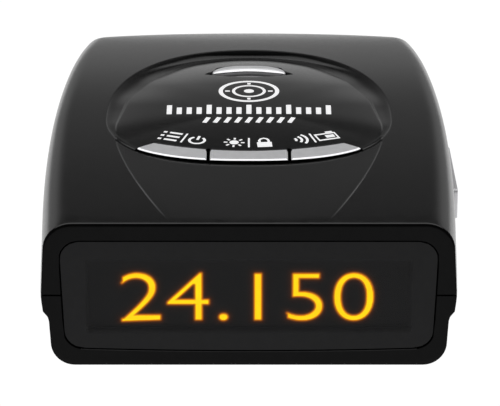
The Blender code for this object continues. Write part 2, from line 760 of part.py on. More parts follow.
def latch_spring():
    """A coil of round wire between the channel's shelf and the latch plate."""
    length = LATCH_PLATE_Z - GAP - SPRING_BASE_Z - 2 * SPRING_WIRE
    steps = 42
    curve = bpy.data.curves.new("latch_spring", "CURVE")
    curve.dimensions = "3D"
    curve.bevel_depth = SPRING_WIRE
    curve.bevel_resolution = 1
    curve.use_fill_caps = True
    spline = curve.splines.new("POLY")
    spline.points.add(steps)
    for i, point in enumerate(spline.points):
        angle = 2 * math.pi * SPRING_TURNS * i / steps
        x = SPRING_RADIUS * math.cos(angle)
        y = SPRING_Y + SPRING_RADIUS * math.sin(angle)
        point.co = (x, y, SPRING_BASE_Z + SPRING_WIRE + length * i / steps, 1.0)
    part("latch_spring", curve, STEEL)


def bracket_channel():
    """A flat sleeve open at the back wall, with a stirrup in front that holds the spring's shelf."""
    outer = CHANNEL_HALF + CHANNEL_WALL
    low_z = CHANNEL_FLOOR_Z - CHANNEL_WALL
    sleeve = box((-outer, CHANNEL_FRONT_Y, low_z), (outer, CHANNEL_BACK_Y, CHANNEL_ROOF_Z + CHANNEL_WALL))
    obj = part("bracket_channel", sleeve, BLACK_PLASTIC)
    cut(
        obj,
        box(
            (-CHANNEL_HALF, CHANNEL_FRONT_Y + CHANNEL_WALL, CHANNEL_FLOOR_Z),
            (CHANNEL_HALF, CHANNEL_BACK_Y + MM, CHANNEL_ROOF_Z),
        ),
        box((-3.4 * MM, 23.1 * MM, low_z - MM), (3.4 * MM, 25.4 * MM, CHANNEL_FLOOR_Z + 0.5 * MM)),
    )
    shelf_z = SPRING_BASE_Z - GAP
    join(obj, box((-6 * MM, 12.4 * MM, shelf_z - 0.7 * MM), (6 * MM, 16.8 * MM, shelf_z)))
    for side in (-1, 1):
        inner_x = side * 4.7 * MM
        outer_x = side * 6 * MM
        low_x = min(inner_x, outer_x)
        high_x = max(inner_x, outer_x)
        join(obj, box((low_x, 12.4 * MM, shelf_z - 0.35 * MM), (high_x, 16.8 * MM, low_z + 0.4 * MM)))
        join(obj, box((low_x, 16.4 * MM, 13.2 * MM), (high_x, 22.6 * MM, low_z + 0.4 * MM)))


# ---------------------------------------------------------------- boards and working parts


def display():
    panel = box((-26 * MM, -46.6 * MM, 5.9 * MM), (26 * MM, -45.2 * MM, 19.4 * MM), 0.2 * MM)
    part("display_panel", panel, GLASS)
    part("display_board", box((-27 * MM, -44.9 * MM, 4.6 * MM), (27 * MM, -43.9 * MM, 21 * MM)), BOARD)
    # The ribbon leaves the display board low down and bends back on to the main board.
    bend = 4.4 * MM
    centre = Vector((-39.0 * MM, 11.0 * MM + bend))
    angles = [math.radians(mix(180.0, 270.0, i / 8)) for i in range(9)]
    strip = [(centre.x + bend * math.cos(a), centre.y + bend * math.sin(a)) for a in angles]
    strip = [(centre.x - bend, centre.y + 4 * MM)] + strip + [(centre.x + 4 * MM, centre.y - bend)]
    work = bmesh.new()
    rows = [[work.verts.new((x, y, z)) for x in (-7 * MM, 7 * MM)] for y, z in strip]
    for first, second in zip(rows, rows[1:]):
        work.faces.new((first[0], first[1], second[1], second[0]))
    ribbon = part("display_ribbon", finish(work), FLEX)
    thicken = ribbon.modifiers.new("film", "SOLIDIFY")
    thicken.thickness = 0.2 * MM
    thicken.offset = 0.0


def main_board():
    board = part(
        "main_board",
        box((-MAIN_BOARD_HALF, -41 * MM, MAIN_BOARD_Z), (MAIN_BOARD_HALF, 11.5 * MM, MAIN_BOARD_TOP_Z)),
        BOARD,
    )
    chip_z = MAIN_BOARD_TOP_Z + GAP
    part("processor_chip", box((5 * MM, -14 * MM, chip_z), (17 * MM, -2 * MM, chip_z + 1.4 * MM)), CHIP)
    part("signal_chip", box((6 * MM, 1.5 * MM, chip_z), (14 * MM, 9.5 * MM, chip_z + 1.2 * MM)), CHIP)
    capacitor_z = chip_z + 3.2 * MM
    capacitor = cylinder((8 * MM, -32 * MM, capacitor_z), (21 * MM, -32 * MM, capacitor_z), 3.2 * MM)
    part("backup_capacitor", capacitor, CHIP)
    patch = box((-16 * MM, -15 * MM, chip_z), (1 * MM, 2 * MM, chip_z + 4 * MM), 0.3 * MM)
    part("gps_antenna", patch, CERAMIC)
    x, y = BOARD_SCREW
    for name, side in (("board_screw_left", -1), ("board_screw_right", 1)):
        place = side * x
        cut(board, cylinder((place, y, 0), (place, y, 20 * MM), 1.3 * MM, sides=16))
        screw(name, (place, y), chip_z, 1.0 * MM, 1.9 * MM, -6.5 * MM)


def screw(name, place, seat_z, radius, head_radius, shank):
    """A pan-head screw seated at seat_z. A negative shank runs down from the head, a positive one up."""
    x, y = place
    away = -math.copysign(1.0, shank)
    head_z = seat_z + away * 1.1 * MM
    obj = part(name, cylinder((x, y, seat_z), (x, y, head_z), head_radius, 0.8 * head_radius, 20), STEEL)
    join(obj, cylinder((x, y, seat_z + away * 0.4 * MM), (x, y, seat_z + shank), radius, sides=12))
    slot_z = head_z - away * 0.5 * MM
    for wide, deep in ((0.7 * head_radius, 0.25 * MM), (0.25 * MM, 0.7 * head_radius)):
        low = (x - wide, y - deep, min(slot_z, slot_z + away * MM))
        cut(obj, box(low, (x + wide, y + deep, max(slot_z, slot_z + away * MM))))


def housing_screws():
    for name, place in HOUSING_SCREWS.items():
        screw(f"housing_screw_{name}", place, 4.5 * MM, 1.15 * MM, 2.1 * MM, 15.0 * MM)


def antenna():
    """The flared horn with its two ears, the upright radio board in front of it and its shield can."""
    low_z = 3.9 * MM
    horn = part(
        "horn_antenna",
        tapered_box((4.5 * MM, 5.8 * MM, 11 * MM), (14 * MM, low_z, 14.6 * MM), HORN_FRONT_Y, HORN_BACK_Y),
        BRASS,
    )
    x, y = HORN_SCREW
    ear_z = 6.0 * MM
    join(horn, box((-x - 2.6 * MM, y - 2.5 * MM, ear_z), (x + 2.6 * MM, y + 2.5 * MM, ear_z + 1.2 * MM)))
    cut(
        horn,
        tapered_box(
            (3.5 * MM, 6.8 * MM, 10 * MM),
            (13.2 * MM, low_z + 0.8 * MM, 13.8 * MM),
            HORN_FRONT_Y + 1.2 * MM,
            HORN_BACK_Y + 0.5 * MM,
        ),
    )
    for name, side in (("horn_screw_left", -1), ("horn_screw_right", 1)):
        cut(horn, cylinder((side * x, y, 0), (side * x, y, 12 * MM), 1.3 * MM, sides=16))
        screw(name, (side * x, y), ear_z + 1.2 * MM + GAP, 1.0 * MM, 1.9 * MM, -3.6 * MM)
    part("radio_board", box((-13 * MM, 17.3 * MM, 4.3 * MM), (13 * MM, 18.5 * MM, 12.6 * MM)), BOARD)
    shell = box((-10 * MM, 13.4 * MM, 4.3 * MM), (10 * MM, 17 * MM, 9.2 * MM), 0.3 * MM)
    can = part("shield_can", shell, STEEL)
    cut(can, box((-9.6 * MM, 13.8 * MM, 4.7 * MM), (9.6 * MM, 18 * MM, 8.8 * MM)))


def laser():
    x = 19.8 * MM
    z = 9.6 * MM
    lens = part("laser_lens", cylinder((x, 35.4 * MM, z), (x, 38.8 * MM, z), 4.2 * MM), SMOKED)
    bevel = lens.modifiers.new("rim", "BEVEL")
    bevel.width = 0.5 * MM
    bevel.segments = 2
    bevel.angle_limit = math.radians(60)
    low = (x - 3 * MM, 33.6 * MM, z - 3 * MM)
    part("laser_sensor", box(low, (x + 3 * MM, 35.1 * MM, z + 3 * MM), 0.3 * MM), CHIP)


def speaker():
    low_z = BASE_Z + WALL + GAP
    gasket_top = low_z + 0.7 * MM
    disc = cylinder((0, SPEAKER_Y, low_z), (0, SPEAKER_Y, gasket_top), SPEAKER_RADIUS)
    gasket = part("speaker_gasket", disc, RUBBER)
    cut(gasket, cylinder((0, SPEAKER_Y, 0), (0, SPEAKER_Y, 9 * MM), 10.3 * MM))
    base_z = gasket_top + GAP
    basket = cylinder((0, SPEAKER_Y, base_z), (0, SPEAKER_Y, base_z + 1.6 * MM), SPEAKER_RADIUS)
    body = part("speaker", basket, STEEL)
    join(body, cylinder((0, SPEAKER_Y, base_z + MM), (0, SPEAKER_Y, base_z + 3.6 * MM), 8 * MM, 7 * MM))


def sockets():
    """Power, earphone and data sockets on the left edge of the main board, each behind its opening."""
    base_z = MAIN_BOARD_TOP_Z + GAP
    wall_x = -29.6 * MM
    for name, y, half, bore, high in (
        ("power_jack", -16 * MM, 4 * MM, 1.9 * MM, 6 * MM),
        ("earphone_jack", -4 * MM, 3.4 * MM, 1.8 * MM, 5.2 * MM),
    ):
        low_z = base_z - 1.2 * MM
        body = box((wall_x, y - half, low_z), (-23.8 * MM, y + half, low_z + high), 0.3 * MM)
        jack = part(name, body, CHIP)
        cut(jack, cylinder((wall_x - MM, y, PARTING_Z), (-25 * MM, y, PARTING_Z), bore, sides=24))
    port_low = (wall_x, -31.4 * MM, PARTING_Z - 1.6 * MM)
    port = part("data_socket", box(port_low, (-24 * MM, -22.6 * MM, PARTING_Z + 1.6 * MM), 0.4 * MM), STEEL)
    hole_low = (wall_x - MM, -30.9 * MM, PARTING_Z - 1.2 * MM)
    cut(port, box(hole_low, (-25 * MM, -23.1 * MM, PARTING_Z + 1.2 * MM)))
    half_tongue = 0.35 * MM
    tongue_low = (-29.0 * MM, -29.6 * MM, PARTING_Z - half_tongue)
    tongue = box(tongue_low, (-24.5 * MM, -24.4 * MM, PARTING_Z + half_tongue))
    join(port, tongue)


def feet():
    for name, (x, y) in FEET.items():
        foot = part(name, cylinder((x, y, 0), (x, y, BASE_Z + 0.2 * MM), FOOT_RADIUS, sides=28), RUBBER)
        bevel = foot.modifiers.new("edge", "BEVEL")
        bevel.width = 0.3 * MM
        bevel.segments = 2
        bevel.angle_limit = math.radians(60)


def smooth_round_pieces():
    for obj in PARTS.objects:
        if obj.type == "MESH":
            obj.data.shade_smooth()
            obj.data.set_sharp_from_angle(angle=math.radians(35))


clear_scene()
PARTS = new_collection("radar_detector")
TOOLS = new_collection("cutters")
TOOLS.hide_render = True
BODY_FRAME = empty_at("body_frame", (0.0, DATUM_Y, 0.0))
top_housing()
bottom_housing()
windows()
control_keys()
keypad()
side_keys()
release()
display()
main_board()
housing_screws()
antenna()
laser()
speaker()
sockets()
feet()
smooth_round_pieces()
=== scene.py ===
"""Looks for the radar detector.

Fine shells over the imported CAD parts, printed symbols, a lit display and a plain studio.
"""

import json
import math

import bmesh
import bpy
from mathutils import Matrix, Vector
from mathutils.bvhtree import BVHTree

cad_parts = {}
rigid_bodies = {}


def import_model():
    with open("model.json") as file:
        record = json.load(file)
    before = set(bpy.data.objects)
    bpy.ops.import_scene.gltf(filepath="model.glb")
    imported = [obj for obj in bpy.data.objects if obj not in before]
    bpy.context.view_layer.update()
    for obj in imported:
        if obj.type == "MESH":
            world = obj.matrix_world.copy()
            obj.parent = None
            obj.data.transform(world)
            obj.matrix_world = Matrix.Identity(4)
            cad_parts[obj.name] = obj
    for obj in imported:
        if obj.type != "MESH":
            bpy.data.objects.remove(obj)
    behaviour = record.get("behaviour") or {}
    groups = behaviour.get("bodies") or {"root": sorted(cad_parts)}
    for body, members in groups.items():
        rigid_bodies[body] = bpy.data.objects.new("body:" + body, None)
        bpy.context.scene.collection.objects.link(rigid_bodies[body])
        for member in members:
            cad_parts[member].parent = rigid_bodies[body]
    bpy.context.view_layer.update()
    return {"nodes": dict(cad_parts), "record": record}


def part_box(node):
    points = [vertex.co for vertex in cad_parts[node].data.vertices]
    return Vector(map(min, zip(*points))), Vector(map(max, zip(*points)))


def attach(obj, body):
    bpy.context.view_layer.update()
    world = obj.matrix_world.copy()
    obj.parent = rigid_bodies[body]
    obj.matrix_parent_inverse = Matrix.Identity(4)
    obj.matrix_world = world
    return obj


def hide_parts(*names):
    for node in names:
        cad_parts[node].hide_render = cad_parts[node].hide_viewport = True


MM = 0.001

for startup in list(bpy.data.objects):
    bpy.data.objects.remove(startup)

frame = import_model()
TOP_LOW, TOP_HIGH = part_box("top_housing")
BASE_LOW, BASE_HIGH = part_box("bottom_housing")
PANEL_LOW, PANEL_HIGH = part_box("display_panel")
PANE_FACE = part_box("display_window")[0].y
SCREWS = [f"housing_screw_{end}_{side}" for end in ("front", "rear") for side in ("left", "right")]
FEET = ("front_foot", "rear_foot_left", "rear_foot_right")

# Driving sizes of the body, in the layout whose zero line lies 50 mm behind the display face
FRONT = -50.0 * MM
DATUM = TOP_LOW.y - FRONT
LAYOUT = Matrix.Translation((0, DATUM, 0))
BACK = TOP_HIGH.y - DATUM - 0.2 * MM
HALF_WIDTH = 32.9 * MM
WIDEST = -22.9 * MM
SIDE_BOW = 472.0 * MM
BACK_BOW = 71.3 * MM
CORNER = 4.75 * MM
PORT_Z = (TOP_LOW.z + BASE_HIGH.z) / 2
PARTING = PORT_Z + 0.3 * MM
SEAM = 0.15 * MM
FRONT_TOP = 25.0 * MM
BASE_Z = BASE_LOW.z - 0.3 * MM
LEDGE_Z = 10.0 * MM
DRAFT = math.tan(math.radians(3.0))
EDGE = 0.5 * MM  # rounding along the top of the front face
EDGE_LOW = 0.2 * MM  # rounding along its sides and below
SKIN = 1.8 * MM

# Display opening
WINDOW_HALF_TOP = 29.55 * MM
WINDOW_HALF_BASE = 28.8 * MM
WINDOW_TOP = 21.95 * MM
WINDOW_BASE = 3.45 * MM
WINDOW_ROUND = 3.0 * MM
WINDOW_BOW = 0.5 * MM  # rise of its lower edge towards the corners
REVEAL = 0.22 * MM  # gap round the pane

# Control dish. The tables give a size in millimetres, or a power, at angles in degrees round the rim:
# -90 is its front and 90 its back.
DISH_Y = -7.0 * MM
DISH_HALF = 23.5 * MM
DISH_FRONT = 19.9 * MM
DISH_BACK = 34.4 * MM
DISH_FRONT_POWER = 2.41
DISH_BACK_POWER = 2.06
DISH_CENTRE = Vector((0.0, -4.0 * MM))
POD_CREST = 0.45 * MM
POD_EDGE = (
    *((-90, -0.2), (-30, -0.1), (-10, 0.0), (8, -0.02)),
    *((30, -0.4), (48, -0.7), (65, -0.5), (90, -0.45)),
)
POD_POWER = ((-90, 2.0), (-30, 2.2), (0, 4.0), (30, 4.6), (60, 4.0), (90, 3.6))
POD_MARGIN = ((-90, 0.8), (-45, 0.8), (-20, 1.2), (10, 3.0), (30, 3.8), (45, 3.9), (70, 4.9), (90, 5.2))
POD_HALF = 20.9 * MM
POD_REACH = 28.6 * MM
SHEEN_START = 7.0 * MM
SHEEN_FULL = 20.0 * MM
FILLET = ((-90, 0.5), (-45, 0.5), (-20, 0.8), (10, 2.3), (30, 3.4), (45, 3.4), (60, 2.8), (90, 2.2))
FLOOR = ((-90, -0.2), (-30, -0.1), (-10, -0.14), (8, -0.35), (30, -0.8), (60, -1.15), (90, -1.3))
WALL_POWER = ((-90, 3.5), (25, 3.5), (50, 5.5), (90, 7.5))
SLIT_DEPTH = 0.8 * MM
SLIT_WIDTH = 0.62 * MM
SLIT_END = 14.5 * MM
CREASE_ANGLE = math.radians(-22.0)
CREASE_FRONT_X = 12.2 * MM
CREASE_BEND = Vector((3.05 * MM, 2.15 * MM))
APRON_DROP = 0.35 * MM
RIM_DROP = 0.07 * MM

# Control keys
KEY_BACK_Y = -21.8 * MM
KEY_BACK_RADIUS = 38.0 * MM
KEY_FRONT_GAP = 1.25 * MM
KEY_SHOULDER_X = 15.5 * MM
KEY_TIP = (18.05 * MM, -20.6 * MM)
KEY_CHAMFER = (0.26 * MM, 0.18 * MM)  # across and down
KEY_LOW_Z = 23.3 * MM
CENTRE_KEY_END = 6.28 * MM
SIDE_KEY_START = 6.85 * MM

# Release bar and its recess
BAR_BOW = 10.5 * MM
BAR_HALF = 6.3 * MM
BAR_BACK_Y = 17.6 * MM
BAR_FRONT_Y = 14.7 * MM
BAR_DEEP = 1.35 * MM
BAR_LOW_Z = 23.2 * MM
RECESS_HALF = 7.6 * MM
RECESS_BACK_Y = 18.0 * MM
RECESS_FRONT_Y = 10.5 * MM
RECESS_SIDE_Y = 12.4 * MM

# Camera
CAMERA_PITCH = math.radians(22.0)
CAMERA_DISTANCE = 0.600
CAMERA_LENS = 264.5
CAMERA_AIM = Vector((0.18 * MM, DATUM - 20.0 * MM, 16.35 * MM))

# Display
READING = "24.150"
READING_SIZE = (39.4 * MM, 8.05 * MM)
READING_CENTRE = (-0.2 * MM, 11.17 * MM)
FIGURE_Y = PANEL_LOW.y - 0.1 * MM
GLOW_GAP = 0.05 * MM
GLOW_REACH = 0.25 * MM
CLEAR_SHARE = 0.55  # how clear the pane is in front of the panel, across and down, multiplied together

# Side strip, in its own frame: +X out of the wall, +Y along it
STRIP_CENTRE = Vector((33.05 * MM, -12.5 * MM, 17.0 * MM))
STRIP_TURN = math.atan2(STRIP_CENTRE.y - WIDEST, SIDE_BOW)
STRIP_LENGTH = 19.6 * MM
STRIP_HEIGHT = 5.2 * MM
STRIP_PROUD = 0.7 * MM
STRIP_INLAY = 0.6 * MM
SIDE_KEY_LENGTH = 6.6 * MM
SIDE_KEY_HEIGHT = 2.2 * MM
SIDE_KEY_SPACING = 8.8 * MM
CUT_GAP = 0.2 * MM

# Steps of the fine shells
BACK_STEPS = 22
CORNER_STEPS = 12
SIDE_STEPS = 36
FRONT_STEPS = 12
APRON_STEPS = 30
SKIN_STEPS = 22
SHOULDER_STEPS = 10


# ---- shape functions


def mix(a, b, share):
    return a + (b - a) * min(max(share, 0.0), 1.0)


def ease(share):
    share = min(max(share, 0.0), 1.0)
    return share * share * (3.0 - 2.0 * share)


def crown(y):
    """Height of the top skin along the body."""
    run = (y - FRONT) / MM
    fall = max(y / MM + 4.5, 0.0)
    return FRONT_TOP + (0.055 * run - 0.0004 * run**2 - 3e-5 * fall**3) * MM


def shoulder(y):
    return mix(4.6 * MM, 3.0 * MM, (y - FRONT) / (45 * MM))


def base_round(y):
    return mix(3.8 * MM, 2.6 * MM, (y - FRONT) / (45 * MM))


def quarter(steps):
    """(across, down) shares of a quarter round, from (0, 1) to (1, 0)."""
    for i in range(steps + 1):
        angle = math.pi / 2 * i / steps
        yield 1 - math.cos(angle), 1 - math.sin(angle)


def arc_points(centre, radius, start, end, steps):
    for i in range(steps + 1):
        angle = mix(start, end, i / steps)
        normal = Vector((math.cos(angle), math.sin(angle)))
        yield centre + normal * radius, normal


def plan():
    """Half outline as (point, outward normal), from the middle of the back to the front of the side."""
    side = Vector((HALF_WIDTH - SIDE_BOW, WIDEST))
    back = Vector((0.0, BACK - BACK_BOW))
    span = back - side
    near = (SIDE_BOW - CORNER) ** 2 - (BACK_BOW - CORNER) ** 2 + span.length_squared
    near /= 2 * span.length
    up = math.sqrt((SIDE_BOW - CORNER) ** 2 - near**2)
    across = span.normalized()
    corner = side + across * near + Vector((-across.y, across.x)) * up
    side_end = math.atan2(corner.y - side.y, corner.x - side.x)
    back_start = math.atan2(corner.y - back.y, corner.x - back.x)
    side_start = math.asin((FRONT - WIDEST) / SIDE_BOW)
    found = list(arc_points(back, BACK_BOW, math.pi / 2, back_start, BACK_STEPS))
    found += list(arc_points(corner, CORNER, back_start, side_end, CORNER_STEPS))[1:]
    found += list(arc_points(side, SIDE_BOW, side_end, side_start, SIDE_STEPS))[1:]
    return found


def dish_rim(angle):
    is_back = math.sin(angle) > 0
    power = 2.0 / (DISH_BACK_POWER if is_back else DISH_FRONT_POWER)
    reach = DISH_BACK if is_back else DISH_FRONT
    x = math.copysign(abs(math.cos(angle)) ** power, math.cos(angle)) * DISH_HALF
    y = math.copysign(abs(math.sin(angle)) ** power, math.sin(angle)) * reach
    return Vector((x, DISH_Y + y))


def dish_front_y(x):
    share = 1.0 - (abs(x) / DISH_HALF) ** DISH_FRONT_POWER
    return DISH_Y - DISH_FRONT * share ** (1.0 / DISH_FRONT_POWER)


def station(stations, angle):
    """The value of a table at a rim angle, eased between its entries."""
    degrees = math.degrees(angle)
    for (low, first), (high, second) in zip(stations, stations[1:]):
        if degrees <= high:
            return mix(first, second, ease((degrees - low) / (high - low)))
    return stations[-1][1]


def pod_height(angle, share):
    """The pod's own surface against the skin. share is 0 in its middle and 1 at its edge."""
    edge = station(POD_EDGE, angle) * MM
    fall = min(max(share, 0.0), 1.0) ** station(POD_POWER, angle)
    return edge + (POD_CREST - edge) * (1 - fall)


def key_back_y(x):
    return KEY_BACK_Y + KEY_BACK_RADIUS - math.sqrt(KEY_BACK_RADIUS**2 - x * x)


def key_front_y(x):
    return dish_front_y(x) + KEY_FRONT_GAP - 0.65 * MM * (x / KEY_TIP[0]) ** 2


# ---- mesh helpers


def link_object(name, data):
    obj = bpy.data.objects.new(name, data)
    bpy.context.scene.collection.objects.link(obj)
    return obj


def object_from(name, work, turn_out=True):
    if turn_out:
        bmesh.ops.recalc_face_normals(work, faces=work.faces)
    mesh = bpy.data.meshes.new(name)
    work.to_mesh(mesh)
    work.free()
    return link_object(name, mesh)


def bake_modifiers(obj):
    graph = bpy.context.evaluated_depsgraph_get()
    mesh = bpy.data.meshes.new_from_object(obj.evaluated_get(graph))
    obj.modifiers.clear()
    obj.data = mesh


def add_grid(work, rows, closed=False):
    """Quads between rows of points. Rows have equal lengths."""
    made = [[work.verts.new(point) for point in row] for row in rows]
    for first, second in zip(made, made[1:]):
        count = len(first)
        for i in range(count if closed else count - 1):
            j = (i + 1) % count
            work.faces.new((first[i], first[j], second[j], second[i]))
    return made


def solid_from(name, rows):
    """Closed rings joined one to the next, with the first and the last filled."""
    work = bmesh.new()
    made = add_grid(work, rows, closed=True)
    work.faces.new(made[0])
    work.faces.new(made[-1])
    return object_from(name, work)


def weld(work, distance=2e-6):
    bmesh.ops.remove_doubles(work, verts=work.verts, dist=distance)
    bmesh.ops.dissolve_degenerate(work, edges=work.edges, dist=distance)


def mirror_x(work):
    """Adds the -X half."""
    copy = bmesh.ops.duplicate(work, geom=work.verts[:] + work.edges[:] + work.faces[:])["geom"]
    verts = [g for g in copy if isinstance(g, bmesh.types.BMVert)]
    faces = [g for g in copy if isinstance(g, bmesh.types.BMFace)]
    for vert in verts:
        vert.co.x = -vert.co.x
    bmesh.ops.reverse_faces(work, faces=faces)


def shade(obj, degrees=30):
    obj.data.shade_smooth()
    obj.data.set_sharp_from_angle(angle=math.radians(degrees))


def box_cutter(low, high, place=LAYOUT):
    low = Vector(low)
    high = Vector(high)
    middle = Matrix.Translation((low + high) / 2)
    work = bmesh.new()
    size = Matrix.Diagonal((*(high - low), 1.0))
    bmesh.ops.create_cube(work, size=1.0, matrix=place @ middle @ size)
    return object_from("cutter", work)


def rod_cutter(start, end, radius):
    start = Vector(start)
    along = Vector(end) - start
    turn = along.to_track_quat("Z", "Y").to_matrix().to_4x4()
    work = bmesh.new()
    bmesh.ops.create_cone(
        work,
        cap_ends=True,
        segments=40,
        radius1=radius,
        radius2=radius,
        depth=along.length,
        matrix=LAYOUT @ Matrix.Translation(start + along / 2) @ turn,
    )
    return object_from("cutter", work)


def prism(points, low_z, high_z):
    """A flat outline given a thickness."""
    return solid_from("cutter", [[(x, y + DATUM, z) for x, y in points] for z in (low_z, high_z)])


def cut(obj, cutters):
    for cutter in cutters:
        modifier = obj.modifiers.new("cut", "BOOLEAN")
        modifier.operation = "DIFFERENCE"
        modifier.solver = "MANIFOLD"
        modifier.object = cutter
    bake_modifiers(obj)
    for cutter in cutters:
        bpy.data.objects.remove(cutter)


# ---- upper shell


def rays():
    """The rays that run outwards from the dish, from the middle of the back to the middle of the front.

    Each is (rim angle, end point, end normal or None, bend, how far across the apron).
    """
    found = []
    outline = plan()
    for point, normal in outline:
        inner = point - normal * shoulder(point.y)
        if normal == outline[-1][1]:
            inner.y = FRONT
        polar = math.atan2(inner.y - DISH_Y, inner.x)
        found.append([rim_angle(polar), inner, (point, normal), 0.0, -1.0])
    corner_x = found[-1][1].x
    for i in range(1, FRONT_STEPS + 1):
        x = CREASE_FRONT_X + (corner_x - CREASE_FRONT_X) * (1 - i / FRONT_STEPS) ** 1.8
        polar = math.atan2(FRONT - DISH_Y, x)
        found.append([rim_angle(polar), Vector((x, FRONT)), None, 0.0, -1.0])
    for i, ray in enumerate(found):
        ray[3] = ease((i / (len(found) - 1) - 0.55) / 0.45)
    for i in range(1, APRON_STEPS + 1):
        share = (i / APRON_STEPS) ** 1.6
        x = CREASE_FRONT_X * (1 - share)
        angle = mix(CREASE_ANGLE, -math.pi / 2, share)
        found.append([angle, Vector((x, FRONT)), None, 1 - share, share * CREASE_FRONT_X])
    return found


def rim_angle(polar):
    """The rim's angle for a ray whose end is seen at this angle from the dish's middle."""
    last = math.atan2(FRONT - DISH_Y, CREASE_FRONT_X)
    turn = math.radians(20)
    if polar > turn:
        return polar
    return mix(turn, CREASE_ANGLE, (turn - polar) / (turn - last))


def apron_drop(across, share):
    """The apron between the creases lies a little lower next to the dish."""
    if across < 0:
        return 0.0
    return APRON_DROP * ease(across / (0.4 * MM)) * (1 - share**1.3)


def skin_row(ray):
    """Points from the rim outwards to the ray's end."""
    angle, end, _, bend, across = ray
    start = dish_rim(angle)
    middle = (start + end) / 2 + CREASE_BEND * bend
    row = []
    length = (end - start).length
    for i in range(SKIN_STEPS + 1):
        share = (i / SKIN_STEPS) ** 1.7
        point = start * (1 - share) ** 2 + middle * 2 * share * (1 - share) + end * share**2
        gone = share * length
        lip = RIM_DROP * max(1 - gone / (0.3 * MM), 0.0) ** 2
        row.append((point.x, point.y, crown(point.y) - apron_drop(across, share) - lip))
    return row


def dish_row(ray):
    """Points from the rim to the dish's middle: the hollow inside the rim, the slit, then the pod."""
    angle, _, _, _, across = ray
    rim = dish_rim(angle)
    reach = (rim - DISH_CENTRE).length
    margin = station(POD_MARGIN, angle) * MM
    fillet = min(station(FILLET, angle) * MM, margin - 0.1 * MM)
    slit_start = max(margin - SLIT_WIDTH, fillet)
    distances = [fillet * (i / 14) ** 1.2 for i in range(1, 15)]
    distances += [mix(fillet, slit_start, i / 4) for i in range(1, 4)]
    distances += [mix(slit_start, margin, i / 8) for i in range(9)]
    distances += [margin + (reach - margin) * (i / 24) ** 1.25 for i in range(1, 25)]
    rim_height = -apron_drop(across, 0.0) - RIM_DROP
    floor = station(FLOOR, angle) * MM
    power = station(WALL_POWER, angle)
    row = []
    for i, distance in enumerate(distances):
        point = rim.lerp(DISH_CENTRE, distance / reach)
        pod = pod_height(angle, (reach - distance) / (reach - margin))
        base = mix(pod, floor, ease((margin - distance) / (margin - fillet)))
        height = mix(base, rim_height, max(1 - distance / fillet, 0.0) ** power)
        height -= slit_depth(angle, point.x, (margin - distance) / SLIT_WIDTH)
        row.append((point.x, point.y, crown(point.y) + height + i * 1e-9))
    return row


def slit_depth(angle, x, share):
    """The fine slit round the back of the pod, which runs out sideways. share is 0 at the pod's edge."""
    if angle < 0 or not 0 < share < 1:
        return 0.0
    strength = ease((SLIT_END - abs(x)) / (1.5 * MM))
    return SLIT_DEPTH * strength * ease(2.5 * (1 - abs(2 * share - 1)))


def wall_row(ray):
    """Points over the shoulder and down the wall, for a ray that ends at the side or the back."""
    _, inner, (point, normal), _, _ = ray
    radius = shoulder(point.y)
    is_front = abs(inner.y - FRONT) < 1e-9
    row = []
    for drop, inset in list(quarter(SHOULDER_STEPS))[1:]:
        place = point - normal * radius * inset
        if is_front:
            place.y = FRONT
        row.append((place.x, place.y, crown(place.y) - radius * drop))
    top_z = row[-1][2]
    low_z = PARTING + SEAM
    for share in (0.35, 0.7, 0.97, 1.0):
        z = mix(top_z, low_z, share)
        out = (top_z - z) * DRAFT - (0.05 * MM if share == 1.0 else 0.0)
        place = point + normal * out
        row.append((place.x, FRONT if is_front else place.y, z))
    return row


def window_outline(angle, grow=0.0):
    """A point of the window's outline, seen at an angle from the parting line's middle. Angle 0 is +X."""
    top_z = WINDOW_TOP - PARTING + grow
    base_z = WINDOW_BASE - PARTING - grow
    lean = (WINDOW_HALF_TOP - WINDOW_HALF_BASE) / (WINDOW_TOP - WINDOW_BASE)
    middle = WINDOW_HALF_TOP - lean * (WINDOW_TOP - PARTING) + grow
    c = abs(math.cos(angle))
    s = math.sin(angle)
    high = top_z if s >= 0 else base_z
    reach = middle / max(c - lean * s, 1e-9)
    if abs(s) > 1e-9:
        reach = min(reach, high / s)
    radius = WINDOW_ROUND + grow
    pz = high - math.copysign(radius, s)
    px = middle + lean * pz - radius
    x = reach * c
    z = reach * s
    if x > px and abs(z) > abs(pz):
        along = px * c + pz * s
        reach = along + math.sqrt(max(along**2 - (px**2 + pz**2 - radius**2), 0.0))
        x = reach * c
        z = reach * s
    low_share = min(max(z / base_z, 0.0), 1.0)
    return x, PARTING + z + WINDOW_BOW * low_share * (x / WINDOW_HALF_BASE) ** 2


def bezel_rows(outline):
    """The rounded front edge, the flat bezel and the window's reveal, from (x, z, nx, nz) points."""
    rows = []
    for across, down in quarter(5):
        row = []
        for x, z, nx, nz in outline:
            inset = mix(EDGE_LOW, EDGE, max(nz, 0.0)) * across
            row.append((x - nx * inset, FRONT + EDGE * down, z - nz * inset))
        rows.append(row)
    angles = [math.atan2(z - PARTING, x) for x, z, _, _ in outline]
    start = rows[-1]
    ends = [window_outline(angle, REVEAL) for angle in angles]
    for share in (0.25, 0.5, 0.75, 0.97, 1.0):
        rows.append([(mix(p[0], e[0], share), FRONT, mix(p[2], e[1], share)) for p, e in zip(start, ends)])
    wall = [window_outline(angle, REVEAL - 0.07 * MM) for angle in angles]
    for depth in (0.12 * MM, 2.2 * MM):
        rows.append([(x, FRONT + depth, z) for x, z in wall])
    return rows


